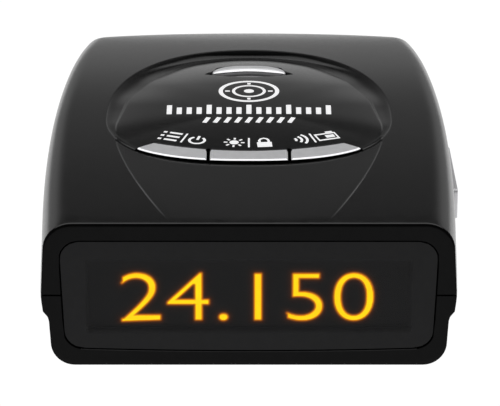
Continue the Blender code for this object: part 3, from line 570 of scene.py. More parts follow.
def skin_object(name, work):
    """The whole shell from the skin of its +X half."""
    weld(work)
    mirror_x(work)
    weld(work)
    bmesh.ops.translate(work, verts=work.verts, vec=(0, DATUM, 0))
    bmesh.ops.recalc_face_normals(work, faces=work.faces)
    rear = max(work.faces, key=lambda face: face.calc_center_median().y)
    if rear.normal.y < 0:
        bmesh.ops.reverse_faces(work, faces=work.faces)
    obj = object_from(name, work, turn_out=False)
    wall = obj.modifiers.new("wall", "SOLIDIFY")
    wall.thickness = SKIN
    wall.offset = -1.0
    bake_modifiers(obj)
    return obj


def upper_shell():
    """The upper housing: skin, dish, shoulder, wall and the upper half of the bezel."""
    work = bmesh.new()
    found = rays()
    skin = [skin_row(ray) for ray in found]
    for row in skin:
        if abs(row[-1][1] - FRONT) < 1e-9:
            row[-1] = (row[-1][0], FRONT + EDGE, row[-1][2])
    add_grid(work, skin)
    add_grid(work, [[row[0]] + dish for row, dish in zip(skin, (dish_row(ray) for ray in found))])
    walls = [[row[-1]] + wall_row(ray) for row, ray in zip(skin, found) if ray[2]]
    walls[-1] = [(x, FRONT + EDGE, z) for x, _, z in walls[-1]]
    add_grid(work, walls)
    top = [(row[-1][0], row[-1][2], 0.0, 1.0) for row, ray in zip(skin, found) if not ray[2]]
    top.reverse()
    side = []
    for i, (x, _, z) in enumerate(walls[-1]):
        angle = math.pi / 2 * min(i / SHOULDER_STEPS, 1.0)
        side.append((x, z, math.sin(angle), math.cos(angle)))
    add_grid(work, bezel_rows(top + side))
    return skin_object("upper_shell", work)


def lower_profile(y):
    """(inset, height, outward share) down the lower wall and round on to the base."""
    seam_z = PARTING - SEAM
    wall = (
        (-0.36, seam_z),
        (-0.41, seam_z - 0.1 * MM),
        (-0.33, 11.6 * MM),
        (-0.14, LEDGE_Z + 0.06 * MM),
        (-0.08, LEDGE_Z - 0.03 * MM),
        (0.5, 9.25 * MM),
        (0.62, 9.0 * MM),
        (0.78, 8.4 * MM),
    )
    rows = [(inset * MM, z, 1.0) for inset, z in wall]
    radius = base_round(y)
    for across, down in quarter(SHOULDER_STEPS):
        rows.append((MM + radius * across, BASE_Z + radius * down, 1 - across))
    return rows


def lower_shell():
    """The lower housing: wall, ledge, rounded base and the lower half of the bezel."""
    work = bmesh.new()
    walls = []
    for point, normal in plan():
        places = [(point - normal * inset, z) for inset, z, _ in lower_profile(point.y)]
        walls.append([(place.x, place.y, z) for place, z in places])
    walls[-1] = [(x, FRONT + EDGE, z) for x, _, z in walls[-1]]
    add_grid(work, walls)
    outline = []
    for (x, _, z), (_, _, out) in zip(walls[-1], lower_profile(FRONT)):
        outline.append((x, z, out, -math.sqrt(max(1 - out * out, 0.0))))
    corner_x = walls[-1][-1][0]
    along = [corner_x * (1 - i / FRONT_STEPS) for i in range(1, FRONT_STEPS + 1)]
    outline += [(x, BASE_Z, 0.0, -1.0) for x in along]
    add_grid(work, bezel_rows(outline))
    base = [row[-1] for row in walls]
    base += [(x, FRONT + EDGE, BASE_Z) for x in along]
    centre = [(0.0, y, BASE_Z) for _, y, _ in base]
    add_grid(work, [base, centre])
    return skin_object("lower_shell", work)


def strip_place():
    """The side strip's own frame."""
    return LAYOUT @ Matrix.Translation(STRIP_CENTRE) @ Matrix.Rotation(STRIP_TURN, 4, "Z")


def key_part(start_x, end_x, steps=16):
    """A control key's outline between two distances from the middle: its back edge, then its front."""
    tip = end_x > KEY_SHOULDER_X
    back_end = KEY_SHOULDER_X if tip else end_x
    front_end = KEY_TIP[0] - 0.3 * MM if tip else end_x
    backs = [mix(start_x, back_end, i / steps) for i in range(steps + 1)]
    fronts = [mix(front_end, start_x, i / steps) for i in range(steps + 1)]
    points = [(x, key_back_y(x)) for x in backs]
    if tip:
        points.append((KEY_TIP[0], KEY_TIP[1] + 0.15 * MM))
        points.append((KEY_TIP[0] + 0.05 * MM, KEY_TIP[1] - 0.12 * MM))
    return points + [(x, key_front_y(x)) for x in fronts]


def slot_outline():
    """One opening for all three keys."""
    reach = KEY_TIP[0] + 0.5 * MM
    shoulder_x = KEY_SHOULDER_X + 0.1 * MM
    backs = [mix(-shoulder_x, shoulder_x, i / 40) for i in range(41)]
    fronts = [mix(reach, -reach, i / 40) for i in range(41)]
    points = [(x, key_back_y(x) + 0.16 * MM) for x in backs]
    return points + [(x, dish_front_y(x) + 0.08 * MM) for x in fronts]


def bar_outline(grow=0.0):
    half = BAR_HALF + grow
    across = [mix(-half, half, i / 28) for i in range(29)]
    back = [(x * 0.86, BAR_BACK_Y + grow - (x * 0.86) ** 2 / (2 * BAR_BOW)) for x in across]
    front = [(x, BAR_FRONT_Y - grow - x * x / (2 * BAR_BOW)) for x in reversed(across)]
    return back + front


def recess_outline():
    across = [mix(-1.0, 1.0, i / 28) for i in range(29)]
    back = [(x * RECESS_HALF, mix(RECESS_BACK_Y, RECESS_SIDE_Y, x * x)) for x in across]
    front = [(x * RECESS_HALF, mix(RECESS_FRONT_Y, RECESS_SIDE_Y, x * x)) for x in reversed(across[1:-1])]
    return back + front


def port_cuts():
    """The two round sockets and the data socket, in the left wall."""
    outside = -36.0 * MM
    inside = -30.0 * MM
    cuts = [
        rod_cutter((outside, y, PORT_Z), (inside, y, PORT_Z), radius)
        for y, radius in ((-16.0 * MM, 2.6 * MM), (-4.0 * MM, 2.4 * MM))
    ]
    low = (outside, -31.7 * MM, PORT_Z - 1.9 * MM)
    cuts.append(box_cutter(low, (inside, -22.3 * MM, PORT_Z + 1.9 * MM)))
    return cuts


def rear_cut():
    return box_cutter((-22.3 * MM, 38.0 * MM, 4.9 * MM), (22.3 * MM, 50.0 * MM, 15.2 * MM))


def side_key_cuts(depth, gap):
    """Openings for the two side keys."""
    reach = SIDE_KEY_LENGTH / 2 + gap
    rise = SIDE_KEY_HEIGHT / 2 + gap
    middles = (-SIDE_KEY_SPACING / 2, SIDE_KEY_SPACING / 2)
    return [
        box_cutter((-depth, y - reach, -rise), (3 * MM, y + reach, rise), strip_place()) for y in middles
    ]


def open_upper(shell):
    """Every opening of the upper housing."""
    bar_z = crown(BAR_FRONT_Y)
    channel_half = 11.8 * MM
    half = STRIP_LENGTH / 2 + CUT_GAP
    tall = STRIP_HEIGHT / 2 + CUT_GAP
    cuts = [
        prism(slot_outline(), 22.0 * MM, 28.0 * MM),
        prism(recess_outline(), bar_z - 0.5 * MM, bar_z + 2 * MM),
        prism(bar_outline(0.12 * MM), bar_z - 5 * MM, bar_z + 2 * MM),
        rear_cut(),
        *port_cuts(),
        box_cutter((-channel_half, 38.0 * MM, 15.3 * MM), (channel_half, 50.0 * MM, 20.4 * MM)),
        box_cutter((-STRIP_INLAY - CUT_GAP, -half, -tall), (3.0 * MM, half, tall), strip_place()),
        *side_key_cuts(4.0 * MM, CUT_GAP),
    ]
    cut(shell, cuts)


def open_lower(shell):
    """Every opening of the lower housing."""
    cuts = [rear_cut(), *port_cuts()]
    for names, top_z, radius in ((SCREWS, 5.0 * MM, 2.5 * MM), (FEET, BASE_Z + 0.5 * MM, 4.0 * MM)):
        for name in names:
            low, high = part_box(name)
            x = (low.x + high.x) / 2
            y = (low.y + high.y) / 2 - DATUM
            cuts.append(rod_cutter((x, y, 0.0), (x, y, top_z), radius))
    for i in range(5):
        y = (-20.0 + (i - 2) * 3.0) * MM
        cuts.append(box_cutter((-6 * MM, y - 0.6 * MM, 0.0), (6 * MM, y + 0.6 * MM, 4 * MM)))
    cut(shell, cuts)


# ---- small pieces


def inset_outline(points, distance):
    """The outline moved inwards. Points run round in either direction."""
    area = sum(a[0] * b[1] - b[0] * a[1] for a, b in zip(points, points[1:] + points[:1]))
    sign = 1.0 if area > 0 else -1.0
    moved = []
    for i, (x, y) in enumerate(points):
        before = Vector(points[i - 1])
        after = Vector(points[(i + 1) % len(points)])
        here = Vector((x, y))
        first = (here - before).normalized()
        second = (after - here).normalized()
        normal = Vector((-first.y - second.y, first.x + second.x)) * sign
        share = max(1.0 + first.dot(second), 0.35)
        moved.append(tuple(here + normal * distance / share))
    return moved


def skin_slope(y):
    return (crown(y + 0.5 * MM) - crown(y - 0.5 * MM)) / MM


def control_key(name, points):
    """A plate whose chamfer round its top has a brighter silver as a painted highlight and whose sides are
    near-black as painted shade. Its top follows the skin's slope.
    """
    y = -24.0 * MM
    slope = skin_slope(y)
    top_z = crown(y) - slope * y + 0.05 * MM
    across, down = KEY_CHAMFER
    rows = [[(x, y + DATUM, KEY_LOW_Z) for x, y in points]]
    rows.append([(x, y + DATUM, top_z + slope * y - down) for x, y in points])
    rows.append([(x, y + DATUM, top_z + slope * y) for x, y in inset_outline(points, across)])
    piece = solid_from(name + "_cap", rows)
    shade(piece, 20)
    finish_piece(piece, SILVER, name + "_body", name)
    piece.data.materials.append(PAINTED_HIGHLIGHT)
    piece.data.materials.append(PAINTED_SHADE_BLACK)
    # Chamfer faces get the painted highlight, the sides the painted shade.
    for polygon in piece.data.polygons:
        if abs(polygon.normal.z) < 0.3:
            polygon.material_index = 2
        elif polygon.normal.z < 0.95:
            polygon.material_index = 1


def mirrored(points):
    return [(-x, y) for x, y in reversed(points)]


def control_keys():
    half = key_part(0.0, CENTRE_KEY_END)
    backs = half[: len(half) // 2]
    fronts = half[len(half) // 2 :]
    right = key_part(SIDE_KEY_START, KEY_TIP[0])
    control_key("centre_key", mirrored(backs)[:-1] + half + mirrored(fronts)[1:])
    control_key("right_key", right)
    control_key("left_key", mirrored(right))


def release_bar():
    """A bowed pillow: full along its middle, rolled over to the front and the back, closed at the ends."""
    rows = []
    for i in range(49):
        share = mix(-1.0, 1.0, i / 48)
        share = math.copysign(1 - (1 - abs(share)) ** 1.6, share)
        x = BAR_HALF * share
        middle = (BAR_BACK_Y + BAR_FRONT_Y) / 2 - 0.35 * MM - x * x / (2 * BAR_BOW)
        deep = BAR_DEEP * math.sqrt(max(1 - abs(share) ** 5, 1e-4))
        full = math.sqrt(max(1 - abs(share) ** 7, 1e-4))
        row = [(x, middle - deep + DATUM, BAR_LOW_Z)]
        for j in range(17):
            turn = mix(-1.0, 1.0, j / 16)
            turn = math.copysign(1 - (1 - abs(turn)) ** 1.5, turn)
            rise = 0.75 * MM * full * (1 - abs(turn) ** 2.6) ** 0.6
            row.append((x, middle + deep * turn + DATUM, crown(middle) - 0.3 * MM + rise))
        row.append((x, middle + deep + DATUM, BAR_LOW_Z))
        rows.append(row)
    piece = solid_from("release_bar_cap", rows)
    shade(piece, 50)
    finish_piece(piece, SILVER, "release_body", "release_bar")
    piece.data.materials.append(PAINTED_HIGHLIGHT)
    # Faces tilted forward and up, towards the lamp, get the brighter silver: a painted highlight.
    for polygon in piece.data.polygons:
        if polygon.normal.y < -0.42 and polygon.normal.z > 0.3:
            polygon.material_index = 1


def rounded_bar(name, length, height, inner, outer, end_round, edge):
    """A bar along Y of the side strip's frame, with rounded corners and a rounded outer edge."""
    outline = []
    for side_y, side_z, start in ((1, 1, 0.0), (-1, 1, 90.0), (-1, -1, 180.0), (1, -1, 270.0)):
        for i in range(7):
            angle = math.radians(start + 15.0 * i)
            y = side_y * (length / 2 - end_round) + math.cos(angle) * end_round
            z = side_z * (height / 2 - end_round) + math.sin(angle) * end_round
            outline.append((y, z))
    rows = [[(inner, y, z) for y, z in outline]]
    for across, down in quarter(4):
        rows.append([(outer - edge * down, y, z) for y, z in inset_outline(outline, edge * across)])
    obj = solid_from(name, rows)
    obj.data.transform(strip_place())
    return obj


def side_strip():
    """The bright strip in the right wall and its two keys."""
    size = (STRIP_LENGTH, STRIP_HEIGHT, -STRIP_INLAY, STRIP_PROUD)
    strip = rounded_bar("side_strip", *size, 0.6 * MM, 0.12 * MM)
    cut(strip, side_key_cuts(3.0 * MM, 0.15 * MM))
    shade(strip, 40)
    finish_piece(strip, SILVER, "body", "side_trim")
    size = (SIDE_KEY_LENGTH, SIDE_KEY_HEIGHT, -2.9 * MM, STRIP_PROUD + 0.15 * MM)
    for name, side in (("side_key_front", -1), ("side_key_rear", 1)):
        key = rounded_bar(name + "_cap", *size, 0.9 * MM, 0.3 * MM)
        along = strip_place().to_3x3() @ Vector((0, side * SIDE_KEY_SPACING / 2, 0))
        key.data.transform(Matrix.Translation(along))
        shade(key, 40)
        finish_piece(key, SILVER, name + "_body", name)


def feet():
    """Round rubber pads with a rounded lower edge and a shallow dimple."""
    edge = 0.4 * MM
    angles = [2 * math.pi * i / 64 for i in range(64)]
    for name in FEET:
        low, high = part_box(name)
        centre = (low + high) / 2
        radius = (high.x - low.x) / 2
        profile = [(radius, high.z)]
        profile += [(radius - edge * across, low.z + edge * down) for across, down in quarter(4)]
        dimple = low.z + edge / 2
        profile += [(radius * 0.62, low.z), (radius * 0.58, dimple), (radius * 0.3, dimple)]
        turns = [(math.cos(angle), math.sin(angle)) for angle in angles]
        rows = [[(centre.x + reach * x, centre.y + reach * y, z) for x, y in turns] for reach, z in profile]
        pad = solid_from(name + "_pad", rows)
        shade(pad, 35)
        finish_piece(pad, RUBBER, "body", name)


def window_pane():
    """The smoked pane, with a rounded outer edge."""
    edge = 0.08 * MM
    ring = []
    for i in range(240):
        angle = 2 * math.pi * (i + 0.5) / 240
        x, z = window_outline(math.atan2(math.sin(angle), abs(math.cos(angle))))
        ring.append((math.copysign(x, math.cos(angle)), z))
    rows = [[(x, FRONT + 2.6 * MM + DATUM, z) for x, z in ring]]
    for across, down in quarter(4):
        rows.append([(x, PANE_FACE + edge * down, z) for x, z in inset_outline(ring, edge * across)])
    pane = solid_from("window_pane", rows)
    shade(pane, 40)
    finish_piece(pane, SMOKED, "body", "display_window")


def fitted(value, values, size, centre):
    """Moves and scales a value so that all of them together fill a size about a centre."""
    return (value - (max(values) + min(values)) / 2) * size / (max(values) - min(values)) + centre


def reading():
    """The lit figures in front of the display panel."""
    curve = bpy.data.curves.new("figures", "FONT")
    curve.body = READING
    curve.resolution_u = 8
    curve.offset = -0.02
    text = link_object("figures_curve", curve)
    graph = bpy.context.evaluated_depsgraph_get()
    mesh = bpy.data.meshes.new_from_object(text.evaluated_get(graph))
    bpy.data.objects.remove(text)
    xs = [v.co.x for v in mesh.vertices]
    ys = [v.co.y for v in mesh.vertices]
    for vert in mesh.vertices:
        x = fitted(vert.co.x, xs, READING_SIZE[0], READING_CENTRE[0])
        z = fitted(vert.co.y, ys, READING_SIZE[1], READING_CENTRE[1])
        vert.co = (x, FIGURE_Y, z)
    figures = link_object("figures", mesh)
    finish_piece(figures, FIGURE_LIGHT, "body")
    return BVHTree.FromPolygons([v.co for v in mesh.vertices], [p.vertices[:] for p in mesh.polygons])


def reading_glow(figures):
    """A fine sheet just behind the figures, whose glow attribute falls off with distance from them."""
    margin = 0.3 * MM
    columns = 216
    lines = 60
    xs = [mix(PANEL_LOW.x + margin, PANEL_HIGH.x - margin, i / columns) for i in range(columns + 1)]
    zs = [mix(PANEL_LOW.z + margin, PANEL_HIGH.z - margin, i / lines) for i in range(lines + 1)]
    work = bmesh.new()
    add_grid(work, [[(x, FIGURE_Y + GLOW_GAP, z) for x in xs] for z in zs])
    glow = work.verts.layers.float.new("glow")
    for vert in work.verts:
        distance = figures.find_nearest((vert.co.x, FIGURE_Y, vert.co.z))[3] - 0.05 * MM
        vert[glow] = math.exp(-max(distance, 0.0) / GLOW_REACH)
    sheet = object_from("display_glow", work)
    finish_piece(sheet, GLOW_LIGHT, "body")


# ---- printed symbols


class Printer:
    """Draws thin raised symbols on the dish. Lengths are millimetres in the layout."""

    def __init__(self, shell):
        polygons = [p.vertices[:] for p in shell.data.polygons]
        self.tree = BVHTree.FromPolygons([v.co for v in shell.data.vertices], polygons)
        self.work = bmesh.new()
        self.place = Matrix.Identity(4)

    def at(self, x, y, turn=0.0):
        self.place = Matrix.Translation((x, y, 0)) @ Matrix.Rotation(turn, 4, "Z")

    def vert(self, x, y):
        point = self.place @ Vector((x, y, 0))
        start = Vector((point.x * MM, point.y * MM + DATUM, 0.05))
        hit = self.tree.ray_cast(start, Vector((0, 0, -1)))[0]
        return self.work.verts.new(hit + Vector((0, 0, 0.025 * MM)))

    def patch(self, points):
        """A filled shape."""
        self.work.faces.new([self.vert(x, y) for x, y in points])

    def stroke(self, points, width, closed=False):
        """A band along the points."""
        count = len(points)
        sides = []
        for i, point in enumerate(points):
            before = Vector(points[(i - 1) % count] if closed or i else point)
            after = Vector(points[(i + 1) % count] if closed or i < count - 1 else point)
            along = (after - before).normalized()
            out = Vector((-along.y, along.x)) * width / 2
            here = Vector(point)
            sides.append((self.vert(*(here + out)), self.vert(*(here - out))))
        pairs = list(zip(sides, sides[1:])) + ([(sides[-1], sides[0])] if closed else [])
        for (a, b), (c, d) in pairs:
            self.work.faces.new((a, b, d, c))

    def line(self, start, end, width):
        start = Vector(start)
        end = Vector(end)
        steps = max(2, int((end - start).length / 0.7))
        self.stroke([tuple(start.lerp(end, i / steps)) for i in range(steps + 1)], width)

    def arc(self, radius, start, end, width, centre_x=0.0, steps=28):
        angles = [math.radians(mix(start, end, i / steps)) for i in range(steps + 1)]
        points = [(centre_x + radius * math.cos(a), radius * math.sin(a)) for a in angles]
        closed = end - start > 359.9
        self.stroke(points[:-1] if closed else points, width, closed)

    def disc(self, radius, steps=24):
        angles = [2 * math.pi * i / steps for i in range(steps)]
        self.patch([(radius * math.cos(a), radius * math.sin(a)) for a in angles])

    def done(self):
        bmesh.ops.recalc_face_normals(self.work, faces=self.work.faces)
        for face in self.work.faces:
            if face.normal.z < 0:
                face.normal_flip()
        obj = object_from("printed_symbols", self.work, turn_out=False)
        thick = obj.modifiers.new("ink", "SOLIDIFY")
        thick.thickness = 0.04 * MM
        thick.offset = -1.0
        bake_modifiers(obj)
        finish_piece(obj, PRINT_WITH_PAINTED_GLOW, "body")


def emblem(ink):
    """Two rings, four ticks and a dot, as on any range display."""
    ink.at(0.0, 3.3)
    ink.arc(4.75, 0, 360, 0.7, steps=48)
    ink.arc(2.6, 0, 360, 0.5, steps=36)
    ink.disc(0.85)
    for x, y in ((1, 0), (0, 1), (-1, 0), (0, -1)):
        ink.line((3.2 * x, 3.2 * y), (4.0 * x, 4.0 * y), 0.55)


def scale_marks(ink):
    """A row of marks, with every fourth one tall, and a row of slanting dashes in front of it."""
    ink.at(0.0, -0.75)
    for i in range(17):
        x = -13.2 + 26.4 * i / 16
        top = -2.4 if i % 4 == 0 else -3.5
        ink.line((x, -6.4), (x, top), 0.85)
    for i in range(9):
        x = -7.0 + 14.0 * i / 8
        ink.line((x - 0.35, -10.1), (x + 0.35, -7.9), 0.75)


def list_symbol(ink):
    for y in (-1.35, 0.0, 1.35):
        ink.line((-1.6, y), (-1.0, y), 0.55)
        ink.line((-0.5, y), (1.7, y), 0.55)


def power_symbol(ink):
    ink.arc(1.25, 125, 415, 0.42)
    ink.line((0, 0.2), (0, 1.65), 0.42)


def sun_symbol(ink):
    ink.disc(0.75)
    for i in range(8):
        angle = math.pi / 4 * i
        direction = Vector((math.cos(angle), math.sin(angle)))
        ink.line(tuple(direction * 1.1), tuple(direction * 1.7), 0.35)


def lock_symbol(ink):
    ink.patch([(-1.2, -1.7), (1.2, -1.7), (1.2, 0.1), (-1.2, 0.1)])
    left = [(-0.75, 0.1), (-0.75, 0.8), (-0.5, 1.35)]
    ink.stroke(left + [(0, 1.6)] + mirrored(left), 0.4)


def sound_symbol(ink):
    for radius in (0.7, 1.6, 2.5):
        ink.arc(radius, -42, 42, 0.42, centre_x=-1.2, steps=14)


def card_symbol(ink):
    ink.stroke([(-1.7, -1.2), (1.7, -1.2), (1.7, 1.0), (-1.7, 1.0)], 0.5, closed=True)
    ink.patch([(-0.2, -0.6), (1.3, -0.6), (1.3, 0.4), (-0.2, 0.4)])
    ink.line((0.3, 1.5), (1.5, 1.5), 0.5)


def divider(ink):
    ink.line((0, -1.75), (0, 1.75), 0.3)


def printed_symbols(shell):
    """All the print on the dish. The symbols stand in an arc behind the keys, each turned to face out."""
    ink = Printer(shell)
    emblem(ink)
    scale_marks(ink)
    symbols = (
        (list_symbol, -12.9, -16.15),
        (divider, -10.55, -17.0),
        (power_symbol, -8.45, -17.95),
        (sun_symbol, -2.4, -18.8),
        (divider, 0.0, -18.9),
        (lock_symbol, 2.5, -18.8),
        (sound_symbol, 8.2, -17.6),
        (divider, 10.4, -17.0),
        (card_symbol, 12.7, -16.2),
    )
    for draw, x, y in symbols:
        ink.at(x, y, math.atan(x / 33.0))
        draw(ink)
    ink.done()


# ---- materials


def add_node(tree, kind, links=None, values=None, operation=None):
    """A shader node, with the outputs that feed its sockets and the values of the others."""
    node = tree.nodes.new(kind)
    if operation:
        node.operation = operation
    for socket, output in (links or {}).items():
        tree.links.new(output, node.inputs[socket])
    for socket, value in (values or {}).items():
        node.inputs[socket].default_value = value
    return node


def add_ramp(tree, source, stops):
    """A colour ramp through (position, colour) stops. The first two stops are its two ends."""
    ramp = tree.nodes.new("ShaderNodeValToRGB")
    for (position, colour), element in zip(stops, ramp.color_ramp.elements):
        element.position = position
        element.color = (*colour, 1.0)
    for position, colour in stops[2:]:
        ramp.color_ramp.elements.new(position).color = (*colour, 1.0)
    tree.links.new(source, ramp.inputs["Fac"])
    return ramp.outputs["Color"]


def add_range(tree, value, start, end, low=0.0, high=1.0):
    """Maps start to low and end to high, and holds the value between them."""
    sockets = {"From Min": start, "From Max": end, "To Min": low, "To Max": high}
    return add_node(tree, "ShaderNodeMapRange", {"Value": value}, sockets).outputs["Result"]


def new_material(name, values):
    """A material, its node tree and its shader, with values on the shader's sockets."""
    made = bpy.data.materials.new(name)
    made.use_nodes = True
    shader = made.node_tree.nodes["Principled BSDF"]
    for socket, value in values.items():
        shader.inputs[socket].default_value = value
    return made, made.node_tree, shader


def surface_material(name, dark, light, rough, scale=900.0, metallic=0.0, specular=0.5, bump=0.05):
    """A finish with fine variation in colour and roughness, and a slight grain."""
    made, tree, shader = new_material(name, {"Metallic": metallic, "Specular IOR Level": specular})
    place = add_node(tree, "ShaderNodeTexCoord").outputs["Object"]
    noise = add_node(tree, "ShaderNodeTexNoise", {"Vector": place}, {"Scale": scale, "Detail": 4.0})
    fine = noise.outputs["Fac"]
    colour = add_ramp(tree, fine, [(0.3, dark), (0.7, light)])
    level = add_range(tree, fine, 0.0, 1.0, *rough)
    grain = add_node(tree, "ShaderNodeBump", {"Height": fine}, {"Strength": bump, "Distance": 0.02 * MM})
    tree.links.new(colour, shader.inputs["Base Color"])
    tree.links.new(level, shader.inputs["Roughness"])
    tree.links.new(grain.outputs["Normal"], shader.inputs["Normal"])
    return made


def add_pod_sheen(made):
    """The pod's back part is polished: a clear coat that fades in along Y, inside the pod's outline."""
    tree = made.node_tree
    shader = tree.nodes["Principled BSDF"]
    place = add_node(tree, "ShaderNodeTexCoord").outputs["Object"]
    fit_values = {
        "Location": (0.0, -(DISH_Y + DATUM) / POD_REACH, 0.0),
        "Scale": (1 / POD_HALF, 1 / POD_REACH, 0.0),
    }
    fit = add_node(tree, "ShaderNodeMapping", {"Vector": place}, fit_values)
    length = add_node(tree, "ShaderNodeVectorMath", {0: fit.outputs["Vector"]}, operation="LENGTH")
    inside = add_range(tree, length.outputs["Value"], 1.02, 0.97)
    split = add_node(tree, "ShaderNodeSeparateXYZ", {"Vector": place})
    along = add_range(tree, split.outputs["Y"], DATUM + SHEEN_START, DATUM + SHEEN_FULL)
    both = add_node(tree, "ShaderNodeMath", {0: inside, 1: along}, operation="MULTIPLY")
    tree.links.new(both.outputs["Value"], shader.inputs["Coat Weight"])
    shader.inputs["Coat IOR"].default_value = 1.8
    shader.inputs["Coat Roughness"].default_value = 0.12


def smoked_material():
    """Dark glossy plastic that lets a share of the light through in front of the display panel."""
    dark = (0.006, 0.006, 0.0065)
    light = (0.008, 0.008, 0.0085)
    made = surface_material("smoked pane", dark, light, (0.10, 0.13), specular=0.15)
    tree = made.node_tree
    place = add_node(tree, "ShaderNodeTexCoord").outputs["Object"]
    split = add_node(tree, "ShaderNodeSeparateXYZ", {"Vector": place})
    shares = {}
    spans = (("X", PANEL_LOW.x, PANEL_HIGH.x), ("Z", PANEL_LOW.z, PANEL_HIGH.z))
    for index, (axis, start, end) in enumerate(spans):
        half = (end - start) / 2
        middle = {1: (start + end) / 2}
        offset = add_node(tree, "ShaderNodeMath", {0: split.outputs[axis]}, middle, "SUBTRACT")
        size = add_node(tree, "ShaderNodeMath", {0: offset.outputs["Value"]}, operation="ABSOLUTE")
        edge = (half - 1.2 * MM, half - 0.4 * MM)
        shares[index] = add_range(tree, size.outputs["Value"], *edge, CLEAR_SHARE, 0.0)
    both = add_node(tree, "ShaderNodeMath", shares, operation="MULTIPLY")
    clear = add_node(tree, "ShaderNodeBsdfTransparent")
    shader = tree.nodes["Principled BSDF"]
    layers = {"Fac": both.outputs["Value"], 1: shader.outputs["BSDF"], 2: clear.outputs["BSDF"]}
    blend = add_node(tree, "ShaderNodeMixShader", layers)
    tree.links.new(blend.outputs["Shader"], tree.nodes["Material Output"].inputs["Surface"])
    return made


def light_material(name, strength, stops, source, values=None):
    """A lit surface whose colour runs along a ramp fed by a source node. Gives the source too."""
    dim = {"Base Color": (0.01, 0.01, 0.01, 1.0), "Roughness": 0.5, "Emission Strength": strength}
    made, tree, shader = new_material(name, dim)
    node = add_node(tree, source, values=values)
    tree.links.new(add_ramp(tree, node.outputs["Fac"], stops), shader.inputs["Emission Color"])
    return made, node


def grey(value):
    return (value, value, value * 1.02)


SHELL = surface_material("satin black plastic", grey(0.003), grey(0.0045), (0.20, 0.26), bump=0.04)
add_pod_sheen(SHELL)
BEZEL = surface_material("matt black plastic", grey(0.004), grey(0.0055), (0.5, 0.6), specular=0.08)
SMOKED = smoked_material()
SILVER = surface_material("silver paint", grey(0.78), grey(0.84), (0.3, 0.38), metallic=0.35, bump=0.03)
# A brighter, fully metallic copy of the silver paint, put on faces that face the lamp: a painted highlight.
PAINTED_HIGHLIGHT = surface_material("painted highlight silver", grey(0.92), grey(0.96), (0.12, 0.18), metallic=1.0, bump=0.0)
PRINT_WITH_PAINTED_GLOW = surface_material("white print with painted glow", grey(0.78), grey(0.84), (0.5, 0.6))
print_glow_shader = PRINT_WITH_PAINTED_GLOW.node_tree.nodes["Principled BSDF"]
# The emission is painted light: it makes the white ink glow as if a lamp lit it from the front.
print_glow_shader.inputs["Emission Color"].default_value = (1.0, 1.0, 1.0, 1.0)
print_glow_shader.inputs["Emission Strength"].default_value = 0.4
# A near-black, barely reflective copy of the black plastic: painted shade on the key sides, the front
# edge's rounding and the window's reveal.
PAINTED_SHADE_BLACK = surface_material("painted shade black", grey(0.0012), grey(0.0018), (0.5, 0.6), specular=0.03)
RUBBER = surface_material("black rubber", grey(0.012), grey(0.02), (0.7, 0.85), bump=0.2)
STEEL = surface_material("steel", grey(0.45), grey(0.55), (0.3, 0.45), metallic=1.0)
BRASS = surface_material("plated horn", (0.6, 0.55, 0.46), (0.68, 0.63, 0.53), (0.3, 0.42), metallic=1.0)
BOARD = surface_material("board", (0.012, 0.07, 0.035), (0.02, 0.11, 0.05), (0.4, 0.55), scale=500.0)
CHIP = surface_material("chip black", grey(0.02), grey(0.03), (0.45, 0.6))
FILM = surface_material("ribbon film", (0.3, 0.13, 0.02), (0.4, 0.18, 0.04), (0.35, 0.5), scale=400.0)
CERAMIC = surface_material("ceramic", (0.5, 0.45, 0.38), (0.6, 0.55, 0.47), (0.45, 0.6))
GLASS = surface_material("display glass", grey(0.006), grey(0.009), (0.1, 0.16))
FIGURE_STOPS = [(0.3, (1.0, 0.62, 0.0)), (0.7, (1.0, 0.72, 0.0))]
GLOW_STOPS = [
    (0.0, (0.0018, 0.0018, 0.0018)),
    (1.0, (1.0, 0.33, 0.0)),
    (0.25, (0.05, 0.012, 0.0)),
    (0.6, (0.4, 0.1, 0.0)),
]
FIGURE_LIGHT, _ = light_material("figures", 11.5, FIGURE_STOPS, "ShaderNodeTexNoise", {"Scale": 600.0})
GLOW_LIGHT, glow_source = light_material("glow", 10.0, GLOW_STOPS, "ShaderNodeAttribute")
glow_source.attribute_name = "glow"

SLOT_FINISH = {
    "black_plastic": SHELL,
    "smoked_plastic": SMOKED,
    "silver": SILVER,
    "black_rubber": RUBBER,
    "steel": STEEL,
    "plated_horn": BRASS,
    "circuit_board": BOARD,
    "chip_black": CHIP,
    "ribbon_film": FILM,
    "ceramic": CERAMIC,
    "display_glass": GLASS,
}


def finish_piece(piece, look, body, node=None):
    """Gives a piece its finish and the body it moves with, and hides the CAD node it stands for."""
    piece.data.materials.clear()
    piece.data.materials.append(look)
    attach(piece, body)
    if node:
        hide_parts(node)


def dress_nodes():
    """Puts the matching finish on each CAD node, by the slot that the record gives it."""
    slots = {entry["node"]: entry["material_slot"] for entry in frame["record"]["subparts"]}
    for name, node in frame["nodes"].items():
        look = SLOT_FINISH[slots[name]]
        if not node.material_slots:
            node.data.materials.append(look)
        for slot in node.material_slots:
            slot.material = look


def bezel_faces(shell):
    """The front face of a housing is matt. Its rounded edge and the window's reveal get near-black as
    painted shade.
    """
    shell.data.materials.append(BEZEL)
    shell.data.materials.append(PAINTED_SHADE_BLACK)
    face_y = FRONT + DATUM
    for polygon in shell.data.polygons:
        x, y, _ = polygon.center
        if y < face_y + 0.01 * MM:
            polygon.material_index = 1
        # The rounding's lower part and the reveal's walls get painted shade.
        elif y < face_y + EDGE and polygon.normal.z < 0.72:
            polygon.material_index = 2
        elif y < face_y + 2.5 * MM and -polygon.normal.x * x > 0.2 * abs(x):
            polygon.material_index = 2


# ---- studio


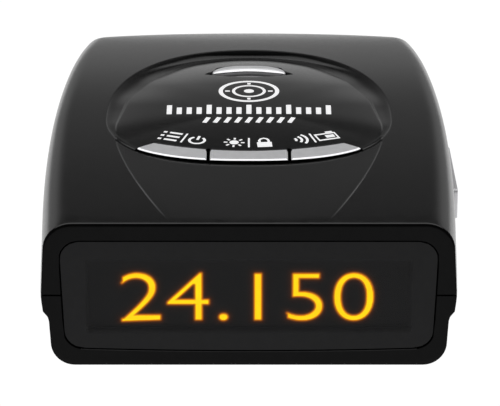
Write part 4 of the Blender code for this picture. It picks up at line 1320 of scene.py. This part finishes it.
def floor_disc():
    """A bright plain sheet to stand on."""
    work = bmesh.new()
    bmesh.ops.create_circle(work, cap_ends=True, segments=128, radius=0.8)
    disc = object_from("floor", work)
    disc.location = (0, 0, -0.02 * MM)
    values = {
        "Base Color": (0.0, 0.0, 0.0, 1.0),
        "Specular IOR Level": 0.0,
        "Emission Color": (1.0, 1.0, 1.0, 1.0),
        "Emission Strength": 1.05,
    }
    disc.data.materials.append(new_material("pale floor", values)[0])


def surroundings():
    """A pale band round the horizon behind and beside the object, dark overhead and in front."""
    world = bpy.data.worlds.new("studio")
    bpy.context.scene.world = world
    world.use_nodes = True
    tree = world.node_tree
    back = tree.nodes["Background"]
    place = add_node(tree, "ShaderNodeTexCoord").outputs["Generated"]
    split = add_node(tree, "ShaderNodeSeparateXYZ", {"Vector": place})
    levels = [(0.0, 0.36), (1.0, 0.03), (0.27, 0.5), (0.35, 0.31), (0.42, 0.07), (0.5, 0.02)]
    stops = [(position, (value, value, value)) for position, value in levels]
    tree.links.new(add_ramp(tree, split.outputs["Z"], stops), back.inputs["Color"])
    tree.links.new(add_range(tree, split.outputs["Y"], -0.5, 0.1, 0.2, 1.0), back.inputs["Strength"])


def overhead_lamp():
    """A wide soft lamp straight above the back of the object."""
    data = bpy.data.lights.new("overhead", "AREA")
    data.shape = "RECTANGLE"
    data.size = 1.8
    data.size_y = 1.3
    data.energy = 8.4
    obj = link_object("overhead", data)
    obj.location = (0.0, 0.15, 0.8)


def camera():
    data = bpy.data.cameras.new("camera")
    data.lens = CAMERA_LENS
    data.sensor_width = 36.0
    obj = link_object("camera", data)
    forward = Vector((0, math.cos(CAMERA_PITCH), -math.sin(CAMERA_PITCH)))
    obj.location = CAMERA_AIM - forward * CAMERA_DISTANCE
    obj.rotation_euler = forward.to_track_quat("-Z", "Y").to_euler()
    bpy.context.scene.camera = obj


# ---- build


dress_nodes()
upper = upper_shell()
open_upper(upper)
shade(upper, 28)
lower = lower_shell()
open_lower(lower)
shade(lower, 28)
finish_piece(upper, SHELL, "body", "top_housing")
finish_piece(lower, SHELL, "body", "bottom_housing")
bezel_faces(upper)
bezel_faces(lower)
printed_symbols(upper)
control_keys()
release_bar()
side_strip()
feet()
window_pane()
reading_glow(reading())

floor_disc()
surroundings()
overhead_lamp()
camera()
bpy.context.scene.view_settings.view_transform = "Standard"
